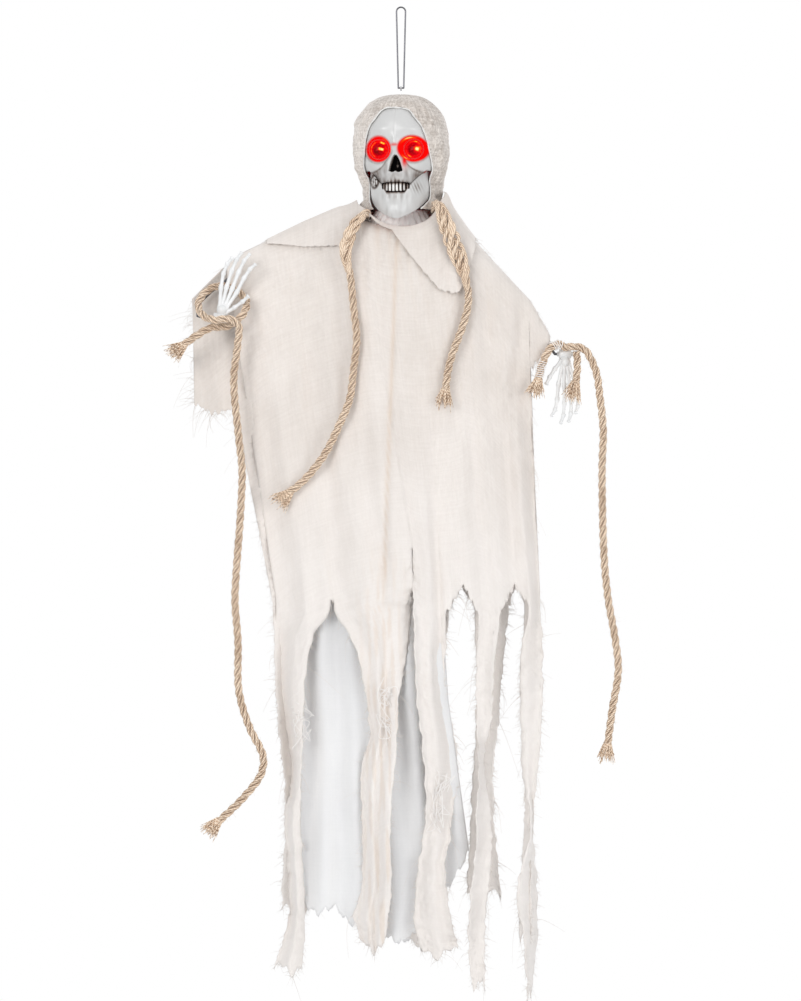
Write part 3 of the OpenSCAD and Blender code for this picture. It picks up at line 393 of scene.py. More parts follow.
def loose_strands(line, count, spread):
    """Strands that have come loose on a stretch of rope: a slack twist, widest in its middle and flat on
    the cloth."""
    t = np.linspace(0, 1, len(line))
    way = way_along(line)
    beside = unit(np.cross(unit(np.gradient(line, axis=0)), [0, 1.0, 0]))
    parts = []
    for k in range(count):
        turn = 2 * np.pi * (way / 0.055 + k / count) + 0.5 * np.sin(9 * t + 2 * k)
        stand = spread * np.sin(np.pi * t) ** 0.7
        middle = line + (stand * np.cos(turn))[:, None] * beside
        middle[:, 1] -= 0.0015 + 0.0022 * np.sin(turn)
        radius = 0.0018 * (0.4 + 0.6 * np.sin(np.pi * t) ** 0.4) + 0.0002 * np.sin(30 * t + k)
        points, faces = tube_along(middle, radius)
        out = points - middle[:, None, :]
        around = np.arctan2(np.sum(out * beside[:, None, :], axis=-1), -out[..., 1]) / (2 * np.pi)
        parts.append((points, faces, np.stack(np.broadcast_arrays(around, way[:, None] + 0.3 * k), axis=-1)))
    return join_parts(parts)


def dress(piece, node=None, body="ghost"):
    """Names the body that a piece rides on and the CAD node whose place it takes."""
    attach(piece, body)
    if node:
        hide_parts(node)


def make_rope(name, route, ends, opened=()):
    """Rope piece with its strands, and a second piece with its loose fibres and its opened stretches. Each
    of those is given by its side, its lower and upper height, its strands and how far they fan out."""
    line = smooth_line(route, rope_step)
    points, faces, uv = laid_strands(line, rope_d / 2)
    rope = new_piece(name + "_laid", points, faces, jute, uv)
    loose = [rope_fibres(line, ends)]
    for side, low, high, count, spread in opened:
        own = (line[:, 0] * side > 0) & (line[:, 1] < -0.022) & (line[:, 2] > low) & (line[:, 2] < high)
        loose.append(loose_strands(line[own], count, spread))
    points, faces, uv = join_parts(loose)
    fibres = new_piece(name + "_fibres", points, faces, jute, uv)
    dress(rope, name)
    dress(fibres)
    return rope, line, fibres


neck_opened = [(-1, -0.270, -0.206, 5, 0.0052), (1, -0.285, -0.196, 6, 0.0075)]
neck_rope = make_rope("neck_rope", neck_route, (0, -1), neck_opened)
left_rope = make_rope("wrist_rope_left", wrist_left_route, (0, -1))
right_rope = make_rope("wrist_rope_right", wrist_right_route, (0, -1))
end_rope = make_rope("wrist_rope_end", wrist_end_route, (-1,))


# Hanging loop and crown. A hairpin of dark spring wire turns in a flat eye bolt, which a nut holds under a
# turned plug in the crown of the skull. All are steel but the plug.

def paint(material, *nodes):
    """Puts a material on CAD nodes whose shape stays as it is."""
    for name in nodes:
        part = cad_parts[name]
        part.data.materials.clear()
        part.data.materials.append(material)


def plain_finish(name, colour, roughness, grain, depth, **sockets):
    """One moulded or drawn material: a drifting colour and a fine surface grain of a size in metres."""
    material, tree, shader = start_finish(name, colour, roughness, **sockets)
    place = add_node(tree, "TexCoord", out="Object")
    tone = ramp(tree, noise(tree, place, 45.0, 4.0), (0.3, 0.86 * np.array(colour)), (0.7, colour))
    drive(tree, shader, Base_Color=tone, Normal=bump(tree, noise(tree, place, 1 / grain, 2.0), 0.25, depth))
    return material


dark_wire = plain_finish("dark_wire", (0.10, 0.10, 0.11), 0.32, 0.0006, 0.00004, Metallic=0.9)
bright_steel = plain_finish("bright_steel", (0.62, 0.62, 0.64), 0.28, 0.0005, 0.00003, Metallic=1.0)
paint(dark_wire, "hanging_loop")
paint(bright_steel, "eye_bolt", "crown_nut", "gear_pin", "jaw_axle", "motor_shaft", "jaw_motor", "box_screws",
      "cell_contacts")


# Skull. A face and a rear shell of glossy light-grey plastic, moulded and joined at a seam behind the
# cheeks. A dark wash has run into the eye sockets, the nose and the tooth roots, and the face is darker
# under the cheekbones. Painted shade darkens the edges where face and jaw meet, and the red light of the
# eyes is painted on the plastic round them.

head_turn = math.radians(-8)
crown_z = -90.4
skull_heights = [-184, -174, -164, -153, -141, -129, -116, -106, -99, -94, crown_z]
eye_x = 17.4
eye_z = -144.5


def swing(p, q, angle):
    """Two coordinates turned by an angle in their plane."""
    c, s = math.cos(angle), math.sin(angle)
    return p * c - q * s, p * s + q * c


def xyz(x, y, z):
    """Points from arrays of their coordinates."""
    return np.stack(np.broadcast_arrays(x, y, z), axis=-1)


def head_turned(points):
    """Points of the head, in millimetres, turned about the hanging line with the head."""
    x, y, z = np.moveaxis(np.asarray(points, float), -1, 0)
    return xyz(*swing(x, y, head_turn), z)


def ease(x):
    """Smooth step from 0 at 0 to 1 at 1."""
    t = np.clip(x, 0, 1)
    return t * t * (3 - 2 * t)


def blend(a, b, t):
    """a at t = 0 and b at t = 1."""
    return a + (b - a) * t


def ripple(p, q, size, seed, waves=20):
    """Uneven ripples over the plane of p and q: sine waves of about one size in random directions."""
    draw = np.random.default_rng(seed)
    total = 0
    for turn, pace, start in draw.uniform((0, 0.7, 0), (2 * np.pi, 1.5, 2 * np.pi), (waves, 3)):
        total = total + np.sin(2 * np.pi * pace / size * (p * np.cos(turn) + q * np.sin(turn)) + start)
    return total * math.sqrt(2 / waves)


def bell(x, width):
    """1 at 0, falling away to both sides over a width."""
    return np.exp(-(x / width) ** 2)


def dent(distance, floor, rim):
    """1 inside the floor's radius, 0 outside the rim's, smooth between."""
    return 1 - ease((distance - floor) / (rim - floor))


def curve(x, knots, values):
    """Smooth curve through knots and values: cubics with the slopes of the chords beside each knot."""
    knots, values = np.asarray(knots, float), np.asarray(values, float)
    first = np.maximum(np.arange(len(knots)) - 1, 0)
    last = np.minimum(np.arange(len(knots)) + 1, len(knots) - 1)
    slope = (values[last] - values[first]) / (knots[last] - knots[first])
    i = np.clip(np.searchsorted(knots, x, side="right") - 1, 0, len(knots) - 2)
    h = knots[i + 1] - knots[i]
    t = np.clip((x - knots[i]) / h, 0, 1)
    return (values[i] * (1 + 2 * t) * (1 - t) ** 2 + values[i + 1] * t * t * (3 - 2 * t)
            + h * t * (1 - t) * (slope[i] * (1 - t) - slope[i + 1] * t))


def skull_half(z):
    """Half breadth of the skull by height."""
    return curve(z, skull_heights, [24, 29, 35.5, 39, 42, 43.5, 41.5, 36, 29.5, 20.5, 7])


def face_depth(z):
    """Depth of the face in front of the seam by height."""
    return curve(z, skull_heights, [39.5, 41, 40, 41.5, 44, 46.5, 46, 40.5, 32.5, 22, 7])


def eye_distance(x, z):
    """Distance from the nearer eye's middle, in the front view."""
    return np.hypot(np.abs(x) - eye_x, (z - eye_z) * 1.05)


def nose_inside(x, z):
    """1 inside the nose opening: a pointed arch, 14 mm wide, with a ridge that splits its lower edge."""
    t = (-150.5 - z) / 16.5
    half = 7.2 * np.sqrt(np.clip(t, 0, 1)) * ease((1.10 - 0.12 * bell(x, 1.6) - t) / 0.16)
    return 1 - ease((np.abs(x) - half + 1.4) / 1.8)


def cheek_line(x):
    """Lower edge of the cheekbone, which swings up beside the nose."""
    return curve(np.abs(x), [7, 10.5, 14.5, 21, 29, 42], [-151, -157, -161.5, -164.8, -165.8, -163])


def face_relief(x, z):
    """Depth of the face's relief, positive into the head: sockets, eye holes, nose, hollow cheeks and tooth
    roots, less the brow, the cheekbones, the bridge of the nose and the muzzle."""
    side = np.abs(x)
    eye = eye_distance(x, z)
    return (10 * dent(eye, 9.5, 14.5) + 17 * dent(eye, 10.45, 10.75) + 9 * nose_inside(x, z)
            + 4 * bell(side - 25, 6) * bell(z + 172, 6)
            + 1.7 * ease((cheek_line(x) - z) / 1.8) * ease((side - 8) / 4)
            - 2.2 * bell(side - 16, 10) * bell(z + 125.5, 5)
            - 3.2 * bell(side - 27, 8) * bell(z + 157, 7)
            - 3.5 * bell(x, 4) * bell(z + 141, 8)
            - 2 * bell(x, 13) * bell(z + 173, 6) - 1.0 * bell(x, 2.2) * bell(z + 170, 4)
            + 1.4 * bell(side - 40, 8) * bell(z + 126, 12)
            + 0.45 * np.cos(2 * np.pi * x / 4.6) * bell(z + 177, 3.5) * bell(x, 13))


a, f = np.meshgrid(np.radians(np.linspace(-90, 90, 240)), np.linspace(0, 1, 210))
b = np.degrees(np.abs(a))
face_edge = blend(-177.5, -165, ease((b - 36) / 20)) - 2.2 * bell(b - 31, 6)
edge_x, edge_z = skull_half(face_edge[0, 120:]) * np.sin(a[0, 120:]), face_edge[0, 120:]
z = blend(face_edge, crown_z, np.sin(np.pi / 2 * f))
x = skull_half(z) * np.sin(a)
eye = eye_distance(x, z)
y = -0.15 - face_depth(z) * np.cos(a) + face_relief(x, z) + 0.10 * ripple(x, z, 26, 5)
side = np.abs(x)
below = ease((cheek_line(x) - z) / 1.8) * ease((side - 6) / 4)
muzzle = np.maximum(below, bell(x, 9) * ease((-167 - z) / 3))
# Dark wash in the nose, round the lower rims of the sockets, over the muzzle and at the tooth roots; darker
# along and below the lower edge of the cheekbones; painted shade along the face's lower edge at the sides,
# where it meets the jaw.
wash = np.clip(nose_inside(x, z) * (1 - 0.6 * bell(x - 1.2, 1.1) * bell(z + 161, 1.3))
               + 0.22 * bell(eye - 14.6, 1.2) * ease((-144 - z) / 6)
               + 0.16 * bell(z - face_edge, 1.0) * ease((b - 30) / 8)
               + 0.22 * bell(z - cheek_line(x) + 0.9, 0.8) * ease((side - 8) / 3)
               + 0.17 * muzzle + 0.16 * below * ease((side - 14) / 6)
               + 0.40 * bell(z - face_edge, 2.2) * bell(x, 13) * (0.8 + 0.5 * np.cos(2 * np.pi * x / 3.7))
               + 0.035 * muzzle * ripple(x, z / 2, 5, 14), 0, 1)
# Painted red light of the eye lamps on the plastic: in the sockets, across the bridge between them and beside
# the nose, with brighter arcs round the right socket.
right_eye = np.hypot((x - eye_x) / 1.16, (z - eye_z) * 1.03)
heat_turn = np.degrees(np.arctan2(z - eye_z, x - eye_x))
glow = np.maximum(0.80 * dent(np.where(x < 0, eye, right_eye), 11.6, 14.6),
                  0.55 * bell(z + 141, 1.6) * bell(x, 6))
glow = np.maximum(glow, 0.75 * bell(x - 9, 2.6) * bell(z + 156, 6)) * (1 - nose_inside(x, z))
glow = np.clip(glow + 0.24 * bell(right_eye - 11.7, 0.55) * bell(heat_turn - 112, 26)
               + 0.22 * bell(right_eye - 11.5, 0.5) * bell(heat_turn + 131, 14), 0, 1)


def share_of(tree, name):
    """Value that the points carry under a name."""
    return add_node(tree, "Attribute", out="Fac", attribute_name=name)


def washed_plastic(name, light):
    """Glossy moulded plastic with two shares of its points: the dark paint left in the hollows together with
    painted shade where face and jaw meet, and glow, the red light of the eyes painted on the plastic.
    The dark runs in streaks, and nothing shines where either is full."""
    material, tree, shader = start_finish(name, light, 0.3, Emission_Strength=1.0)
    place = add_node(tree, "TexCoord", out="Object")
    wash, glow = share_of(tree, "wash"), share_of(tree, "glow")
    streak = noise(tree, stretched(tree, place, (420.0, 420.0, 90.0)), 1.0, 4.0)
    run = maths(tree, "MULTIPLY", wash, maths(tree, "ADD", streak, 0.5))
    thin = np.array([0.30, 0.235, 0.205]) * light
    tone = ramp(tree, run, (0, light), (0.42, thin), (0.85, (0.006, 0.005, 0.005)))
    cover = maths(tree, "MULTIPLY", glow, 1.4, clamp=True)
    burn = ramp(tree, glow, (0, (0, 0, 0)), (0.30, (0.30, 0.0, 0.0)), (0.60, (0.62, 0.0, 0.001)),
                (0.80, (0.94, 0.002, 0.002)), (0.90, (1.0, 0.16, 0.01)), (1, (1.0, 0.80, 0.22)))
    shine = maths(tree, "MULTIPLY_ADD", maths(tree, "MAXIMUM", wash, glow), -0.58, 0.5, clamp=True)
    drive(tree, shader, Base_Color=tint(tree, cover, tone, (0.08, 0.0, 0.0, 1)), Emission_Color=burn,
          Specular_IOR_Level=shine, Normal=bump(tree, noise(tree, place, 700.0, 2.0), 0.08, 0.0001))
    return material


skull_plastic = washed_plastic("skull_plastic", (0.62, 0.612, 0.597))


def shell_faces(rows, columns):
    """Faces of an open grid of rows and columns."""
    corner = (np.arange(rows - 1)[:, None] * columns + np.arange(columns - 1)[None, :]).ravel()
    return np.stack([corner, corner + 1, corner + columns + 1, corner + columns], axis=-1).tolist()


def thicken(piece, thickness, offset=0):
    """Gives a sheet or shell its thickness: half on each side, or all inwards where the offset is -1."""
    wall = piece.modifiers.new("thickness", "SOLIDIFY")
    wall.thickness = thickness
    wall.offset = offset


def head_shell(name, slot, node, x, y, z, thickness, body="ghost", **shares):
    """Plastic shell on a grid of points in millimetres, turned with the head."""
    points = head_turned(xyz(x, y, z)) / 1000
    shell = new_piece(name, points, shell_faces(*x.shape), skull_plastic, **shares)
    thicken(shell, thickness, -1)
    dress(shell, node, body)


head_shell("moulded_face", "skull_plastic", "skull_face", x, y, z, 0.0016, wash=wash, glow=glow)

a, f = np.meshgrid(np.radians(np.linspace(90, 270, 150)), np.linspace(0, 1, 110))
rear_foot = -169
z = blend(rear_foot, crown_z, np.sin(np.pi / 2 * f))
rear_depth = curve(z, [rear_foot, -156, -141, -126, -113, -104, -98, -94, crown_z],
                   [40, 48, 53, 54, 49.5, 42, 32.5, 22, 7])
x = skull_half(z) * np.sin(a)
y = 0.15 - rear_depth * np.cos(a)
# The rear shell is darker along its foot.
head_shell("moulded_rear", "skull_plastic", "skull_back", x, y, z, 0.0018, wash=0.5 * bell(z - rear_foot, 3))


# Teeth. Eight pegs of off-white plastic under the edge of the face, each with a flattened front. The dark
# wash stays between them and at their roots, and the backs of the teeth and the teeth towards the ends of
# the row are darker.

def lathe(profile, sides=24):
    """Solid of revolution about Z from a profile of radius and height, with one face on each end."""
    profile = np.asarray(profile, float)
    around = np.linspace(0, 2 * np.pi, sides, endpoint=False)
    points = np.stack([profile[:, :1] * np.cos(around), profile[:, :1] * np.sin(around),
                       np.broadcast_to(profile[:, 1:], (len(profile), sides))], axis=-1)
    return points, tube_faces(len(profile), sides)


tooth_plastic = washed_plastic("tooth_plastic", (0.84, 0.83, 0.80))
tooth_root = -177.9
tooth_profile = [(0.6, -186.5), (1.3, -186.2), (1.7, -184.9), (1.82, -183), (1.75, -180.5), (1.5, tooth_root)]
tooth_parts, tooth_wash = [], []
for turn in np.radians([-27, -19.3, -11.6, -3.9, 3.9, 11.6, 19.3, 27]):
    points, faces = lathe(tooth_profile, 28)
    x, y, z = np.moveaxis(points, -1, 0)
    outer = (abs(math.degrees(turn)) / 27) ** 3
    z = tooth_root + (z - tooth_root) * (1 - 0.22 * outer)
    wash = (0.85 * ease((np.abs(x) - 0.75) / 0.9) + 0.75 * ease((z + 181) / 3)
            + 0.40 * outer + 0.3 * ease((y + 0.3) / 0.8))
    tooth_wash.append(np.clip(wash, 0, 1).ravel())
    x, y = swing(x, 0.92 * y, -turn)
    points = head_turned(xyz(x + 26.8 * math.sin(turn), y - 41 * math.cos(turn), z)) / 1000
    tooth_parts.append((points, faces))
points, faces = join_parts(tooth_parts)[:2]
teeth = new_piece("tooth_row", points, faces, tooth_plastic, wash=np.concatenate(tooth_wash))
dress(teeth, "upper_teeth")


# Eyes. A clear red dome with moulded rings stands in a red cup that glows, lit from behind by one lamp, so
# its middle burns yellow-white and the rings catch the light.

lit_red, tree, shader = start_finish("lit_red", (0.05, 0.0, 0.001), 0.12, Specular_IOR_Level=0.05,
                                     Emission_Strength=1.0)
lit_tone = ramp(tree, share_of(tree, "lamp_heat"), (0, (0.16, 0.0, 0.002)), (0.25, (0.60, 0.0, 0.004)),
                (0.45, (0.95, 0.004, 0.006)), (0.62, (1.0, 0.06, 0.01)), (0.78, (1.0, 0.48, 0.03)),
                (0.90, (1.0, 0.80, 0.10)), (1, (1.0, 0.95, 0.45)))
drive(tree, shader, Emission_Color=lit_tone, Normal=bump(tree, noise(tree, None, 900.0, 2.0), 0.1, 0.0001))

cup_bright = plain_finish("cup_bright", (0.20, 0.004, 0.004), 0.2, 0.0008, 0.00004, Specular_IOR_Level=0.15,
                          Emission_Color=(1.0, 0.002, 0.002, 1), Emission_Strength=0.55)
lamp_body = plain_finish("lamp_body", (0.8, 0.12, 0.06), 0.15, 0.0008, 0.00004)
paint(cup_bright, "eye_cup_left", "eye_cup_right")
paint(lamp_body, "eye_leds")


def bar_spot(p, q, long, wide, lean):
    """1 on a small lit bar of a length and a width, leaning by an angle, falling away round it."""
    p, q = swing(p, q, -lean)
    return np.exp(-((p / long) ** 4 + (q / wide) ** 4))


ball, back, dome_rim = 10.2, 4.8, 9.0
bow = np.linspace(0, 62, 50)
swell = ball + 0.10 * np.cos(bow / 62 * 8 * np.pi) * ease((bow - 8) / 12)
bow = np.radians(bow)
dome_front = np.stack([np.maximum(swell * np.sin(bow), 0.02), 4 + back - swell * np.cos(bow)], axis=1)
dome_rear = np.stack([dome_rim - np.linspace(0, 8.8, 8), 4.2 + np.linspace(0, 1.0, 8)], axis=1)
dome_profile = np.vstack([dome_front[dome_front[:, 0] < dome_rim], dome_rear])
for side, name in ((-1, "left"), (1, "right")):
    points, faces = lathe(dome_profile, 72)
    p, q = points[..., 0], points[..., 1]
    away = np.hypot(p, q)
    heat = 0.20 + 0.22 * ease((away - 5.0) / 2.0) + 0.04 * ripple(p, q, 3, 6)
    if side < 0:
        # On the left dome: the lamp's hot spot in the middle and a painted highlight bar above it.
        heat = (heat - 0.16 * bell(np.hypot(p + 2.5, q + 2.5), 4.5)
                + 0.78 * bar_spot(p - 2.2, q - 0.3, 3.1, 1.6, -0.2)
                + 0.46 * bar_spot(p - 3.2, q - 6.6, 2.4, 1.0, -0.3) + 0.26 * bell(away - 8, 0.6) * (p < -4))
    else:
        ring = bell(p - 2, 3.5) * (q > 0) + bell(p + 4.5, 2.5) * (q < 0)
        heat = (heat + bell(np.hypot(p - 3.4, q - 0.2), 2.5) - 0.12 * bell(np.hypot(p + 2.5, q + 1), 4)
                + 0.34 * bell(away - 7.9, 0.55) * ring)
    points = head_turned(xyz(p + side * eye_x, points[..., 2] - 33.5, q + eye_z)) / 1000
    dome = new_piece("eye_dome_" + name, points, [face[::-1] for face in faces], lit_red,
                     lamp_heat=np.clip(heat, 0, 1))
    dress(dome, "eye_lens_" + name)


# Jaw. A smooth bow of the same plastic on two levers, which the gear train in the head swings about its
# axle. The frame, the wheels and the levers are moulded, and hidden by the skull but for a glimpse through
# the mouth.

frame_plastic = plain_finish("frame_plastic", (0.035, 0.035, 0.038), 0.5, 0.0007, 0.00006)
gear_plastic = plain_finish("gear_plastic", (0.72, 0.66, 0.45), 0.4, 0.0007, 0.00005)
plug_plastic = plain_finish("plug_plastic", (0.78, 0.78, 0.77), 0.35, 0.0007, 0.00005)
paint(frame_plastic, "gear_frame", "jaw_arms")
paint(gear_plastic, "sector_gear", "reduction_gear", "motor_pinion")
paint(plug_plastic, "crown_plug")

a, f = np.meshgrid(np.radians(np.linspace(-96, 96, 190)), np.linspace(0, 1, 70))
b = np.degrees(np.abs(a))
jaw_foot = -213 + 24 * (1 - np.cos(a))
under_face = np.interp(30 * np.sin(np.radians(b)), edge_x, edge_z) - 0.25
jaw_rim = np.where(b < 66, blend(-187.8, under_face, ease((b - 17) / 13)),
                   np.interp(b, [66, 72, 80, 96], [-166, -163, -152, -152]))
z = blend(jaw_foot, jaw_rim, f)
jaw_heights = [-213, -207, -198, -188, -170, -150]
jaw_half = curve(z, jaw_heights, [17.5, 23, 26.8, 29.3, 30, 29.5])
jaw_depth = curve(z, jaw_heights, [33.5, 38, 40, 39.5, 39, 39])
x = jaw_half * np.sin(a)
knob = np.hypot((x + 22.6) / 1.15, (z + 175.5) / 1.5)
streaks = bell(x - 20, 4.5) * bell(z + 182, 5) * (0.5 + 0.5 * np.cos(2.3 * x + 0.9 * z))
roots = np.cos(2 * np.pi * x / 6.3)
jaw_relief = (0.4 * roots * bell(z + 193, 4) * bell(x, 14) + 1.2 * bell(z + 200, 4) * bell(x, 17)
              - 1.0 * bell(z + 207, 5) * bell(np.abs(x) - 6, 6) - 2.0 * dent(knob, 1.5, 4.6) + 0.5 * streaks
              + 0.12 * ripple(x, z / 2, 9, 7))
y = -2 - jaw_depth * np.cos(a) + jaw_relief * ease((80 - b) / 20)
# Painted shade along the jaw's top edge: a dark line under the teeth in front and a darker band under the
# face at the sides. Dark wash at the lower tooth roots, on the knob of back teeth and in the streaks beside
# it.
wash = np.clip(0.40 * bell(z - jaw_rim, 1.2) * dent(b, 26, 36)
               + 0.10 * bell(z + 191, 4) * bell(x, 14) * (1 + roots)
               + 0.10 * bell(z - jaw_rim, 5) * ease((b - 34) / 8) + 0.65 * bell(knob - 4.3, 0.9)
               + 0.50 * dent(knob, 3, 4.4) * (0.4 + 0.5 * ripple(x, z, 3.5, 7)) + 0.42 * streaks
               + 0.04 * bell(x, 14) * ripple(x, z / 3, 6, 8), 0, 1)
head_shell("jaw_bow", "jaw_plastic", "jaw", x, y, z, 0.0018, "jaw", wash=wash)


# Drive box. Two black moulded halves under the neck tube with a speaker, a sound board, a slide switch and
# three cells behind a sliding door. The cloth hides all but the neck.

cell_wrap = plain_finish("cell_wrap", (0.30, 0.31, 0.33), 0.35, 0.0007, 0.00003)
board_finish = plain_finish("board_finish", (0.03, 0.16, 0.06), 0.4, 0.0012, 0.00012)
paint(frame_plastic, "neck_tube", "box_front", "box_back", "battery_door", "switch_body", "speaker")
paint(plug_plastic, "switch_knob")
paint(cell_wrap, "cells")
paint(board_finish, "circuit_board")


# Arms and hands. A steel wire runs out from the box along each shoulder and ends in a plastic sleeve, on
# which a hand of milky plastic tilts. The hands are moulded as bones with thick joints.

hand_plastic = plain_finish("hand_plastic", (0.88, 0.88, 0.87), 0.35, 0.0008, 0.00006)
paint(dark_wire, "arm_wires")
paint(plug_plastic, "wrist_sleeves")
fingers = [
    [(-3, -0.5, 9), (-8, -1, 29), (-10, -2, 43), (-9, -5, 53), (-6, -9, 60)],
    [(-1.2, -0.5, 10), (-2.8, -1, 31), (-3, -2, 48), (-1.5, -5, 60), (1.5, -9, 68)],
    [(1.2, -0.5, 10), (3, -1, 31.5), (4, -2, 49), (6, -5, 61), (9.5, -9, 69)],
    [(3, -0.5, 9), (8.5, -1, 29.5), (11, -2, 45), (14, -5, 55), (18, -9, 61)],
    [(4, -0.5, 6), (11, -2, 14), (17, -5, 22), (21, -8, 29)]]


def hand_bones(tilt):
    """Bones of one hand in millimetres: shafts that swell to knuckles, a wrist knob and its barrel."""
    parts = []
    for finger in fingers:
        for k, (start, end) in enumerate(zip(finger[:-1], finger[1:])):
            t = np.concatenate([[-0.075, -0.06], np.linspace(-0.03, 1.03, 16), [1.06, 1.075]])
            swell = 1.85 - 0.08 * k + 0.95 * (bell(t, 0.16) + bell(t - 1, 0.13) * (1.0 if k < 3 else 0.5))
            swell = swell * np.sqrt(np.clip(np.minimum(t + 0.08, 1.08 - t) / 0.08, 0.02, 1))
            line = np.asarray(start) + t[:, None] * np.subtract(end, start)
            parts.append(tube_along(line, swell))
    knob = np.radians(np.linspace(2, 178, 20))
    parts.append(lathe(np.stack([5.6 * np.sin(knob), 8 - 5.6 * np.cos(knob)], axis=1)))
    turned = []
    for points, faces in parts:
        x, z = swing(points[..., 0], points[..., 2], -math.radians(tilt))
        turned.append((xyz(x, points[..., 1], z), faces))
    barrel, faces = lathe([(2.6, -6), (4.4, -6), (5, -5.4), (5, 5.4), (4.4, 6), (2.6, 6)], 32)
    turned.append((barrel[..., [2, 1, 0]], [face[::-1] for face in faces]))
    return join_parts(turned)[:2]


for name, wrist, tilt in (("left", (-180, -26, -311), 18), ("right", (164, 0, -346), 176)):
    points, faces = hand_bones(tilt)
    bones = new_piece(name + "_hand_bones", (points + np.array(wrist)) / 1000, faces, hand_plastic)
    dress(bones, "hand_" + name, name + "_hand")


# Lining. A plain sheet of thin white cloth under the neck ring that hangs in front of the drive box, inside
# the robe, in soft upright folds. Its foot is cut in a jagged line.

gauze_thick = 0.0007


def cloth_grid(name, slot, node, points, uv, material, keep=None, thickness=gauze_thick, **shares):
    """Sheet on a grid of points in millimetres, with its points in metres and its cells. Only the cells
    that keep names are made, and points that fall together become one."""
    rows, columns = points.shape[:2]
    corner = np.arange(rows - 1)[:, None] * columns + np.arange(columns - 1)[None, :]
    cells = np.stack([corner, corner + columns, corner + columns + 1, corner + 1], axis=-1)
    cells = cells.reshape(-1, 4) if keep is None else cells[keep]
    used, cells = np.unique(cells, return_inverse=True)
    spots, first, same = np.unique(np.round(points.reshape(-1, 3)[used], 3), axis=0, return_index=True,
                                   return_inverse=True)
    own = used[first]
    cells = same.ravel()[cells.reshape(-1, 4)]
    faces = [list(dict.fromkeys(face)) for face in cells.tolist()]
    whole = np.array([len(face) > 2 for face in faces])
    shares = {share: values.ravel()[own] for share, values in shares.items()}
    piece = new_piece(name, spots / 1000, [face for face in faces if len(face) > 2], material,
                      uv.reshape(-1, 2)[own], **shares)
    thicken(piece, thickness)
    dress(piece, node)
    return piece, spots / 1000, cells[whole]


def weave_finish(name, light, shade, pitch, loose, grain=0.3):
    """Woven cloth: threads across and along at a pitch in metres, uneven in thickness, on a drifting
    colour, with specks of a grain where threads bunch. Points with a share of tan are tanner, as painted
    shade in creases, and points with a share of paleness are paler, as white thread and as painted light."""
    material, tree, shader = start_finish(name, light, 0.92, Sheen_Weight=0.25, Sheen_Roughness=0.6)
    flat = add_node(tree, "TexCoord", out="UV")
    place = add_node(tree, "TexCoord", out="Object")
    ways = (add_node(tree, "SeparateXYZ", flat, out=axis) for axis in ("X", "Y"))
    waves = (maths(tree, "SINE", maths(tree, "MULTIPLY", way, 2 * np.pi / pitch)) for way in ways)
    weave = maths(tree, "MAXIMUM", *waves)
    slub = maths(tree, "ADD", *(noise(tree, stretched(tree, flat, scale), 1.0, 3.0, 0.6)
                                for scale in ((0.5 / pitch, 34.0, 1.0), (34.0, 0.5 / pitch, 1.0))))
    mix = maths(tree, "MULTIPLY_ADD", slub, loose, noise(tree, place, 11.0, 3.0))
    mix = maths(tree, "MULTIPLY_ADD", weave, 0.06 * loose, mix)
    mix = maths(tree, "MULTIPLY_ADD", noise(tree, place, 0.5 / pitch, 2.0, 0.6), grain, mix)
    even = maths(tree, "MULTIPLY_ADD", mix, 1.6, 0.5 - 1.6 * (0.5 + loose + 0.5 * grain))
    tone = ramp(tree, even, (0, shade), (1, light))
    pale = tint(tree, share_of(tree, "wear"), tone, (0.93, 0.895, 0.865, 1))
    dyed = tint(tree, share_of(tree, "dye"), pale, (0.70, 0.52, 0.37, 1))
    height = maths(tree, "MULTIPLY_ADD", slub, 1.6, weave)
    drive(tree, shader, Base_Color=dyed, Normal=bump(tree, height, 0.30, 0.00035))
    return material


lining_cloth = weave_finish("lining_cloth", (0.85, 0.84, 0.83), (0.77, 0.76, 0.755), 0.0008, 0.3)
lining_foot = np.array([-893, -905, -897, -915, -905, -925, -933, -920, -900, -870, -842])
u, f = np.meshgrid(np.linspace(0, 1, 101), np.linspace(0, 1, 150))
foot = np.interp(u * 10, np.arange(11), lining_foot) + 2.5 * np.sin(u * 97) + 1.5 * np.sin(u * 211 + 1)
z = blend(-227, foot, f)
right_edge = np.interp(-z, [600, 690, 850], [41, 47, 69])
x = blend(-34 + 68 * u, -101 + (101 + right_edge) * u, ease((-z - 330) / 300))
folds = ease((-z - 400) / 200) * (3 * np.sin(10 * np.pi * u) + 1.2 * ripple(x, z / 5, 30, 3))
y = blend(-21.8, -5 - 19 * bell(x, 65), ease((-z - 338) / 90)) + folds
uv = np.stack([0.17 * u, -z / 1000], axis=-1)
lining = cloth_grid("lining_sheet", "lining_cloth", "lining", xyz(x, y, z), uv, lining_cloth,
                    thickness=0.0005)[0]


# Robe. Two panels of open cream gauze, sewn along the shoulders and hung over the wire arms. The sleeves
# run out over the wrists and the hem is torn into long strips, whose edges fray into loose threads.

robe_gauze = weave_finish("robe_gauze", (0.85, 0.785, 0.73), (0.72, 0.65, 0.59), 0.0011, 0.5)
shoulder_x = np.array([-209, -179, -157, -133, -97, -62, -44, 44, 54, 69, 98, 129, 149])
shoulder_drop = np.array([-291, -261, -244, -232.5, -218.5, -207, -205.5, -205.5, -209, -228, -259.5, -292.5,
                          -327.5])
neck_half = 44
fine_cells, body_rows, strip_rows = 5, 130, 120


def neck_arc(x):
    """1 in the middle of the neck and 0 at its ends, on a quarter of an ellipse."""
    return np.sqrt(np.maximum(0, 1 - (x / neck_half) ** 2))


def shoulder_z(x):
    """Height of the shoulder line, which dips by 14 mm round the neck."""
    return np.interp(x, shoulder_x, shoulder_drop) - 14 * neck_arc(x)


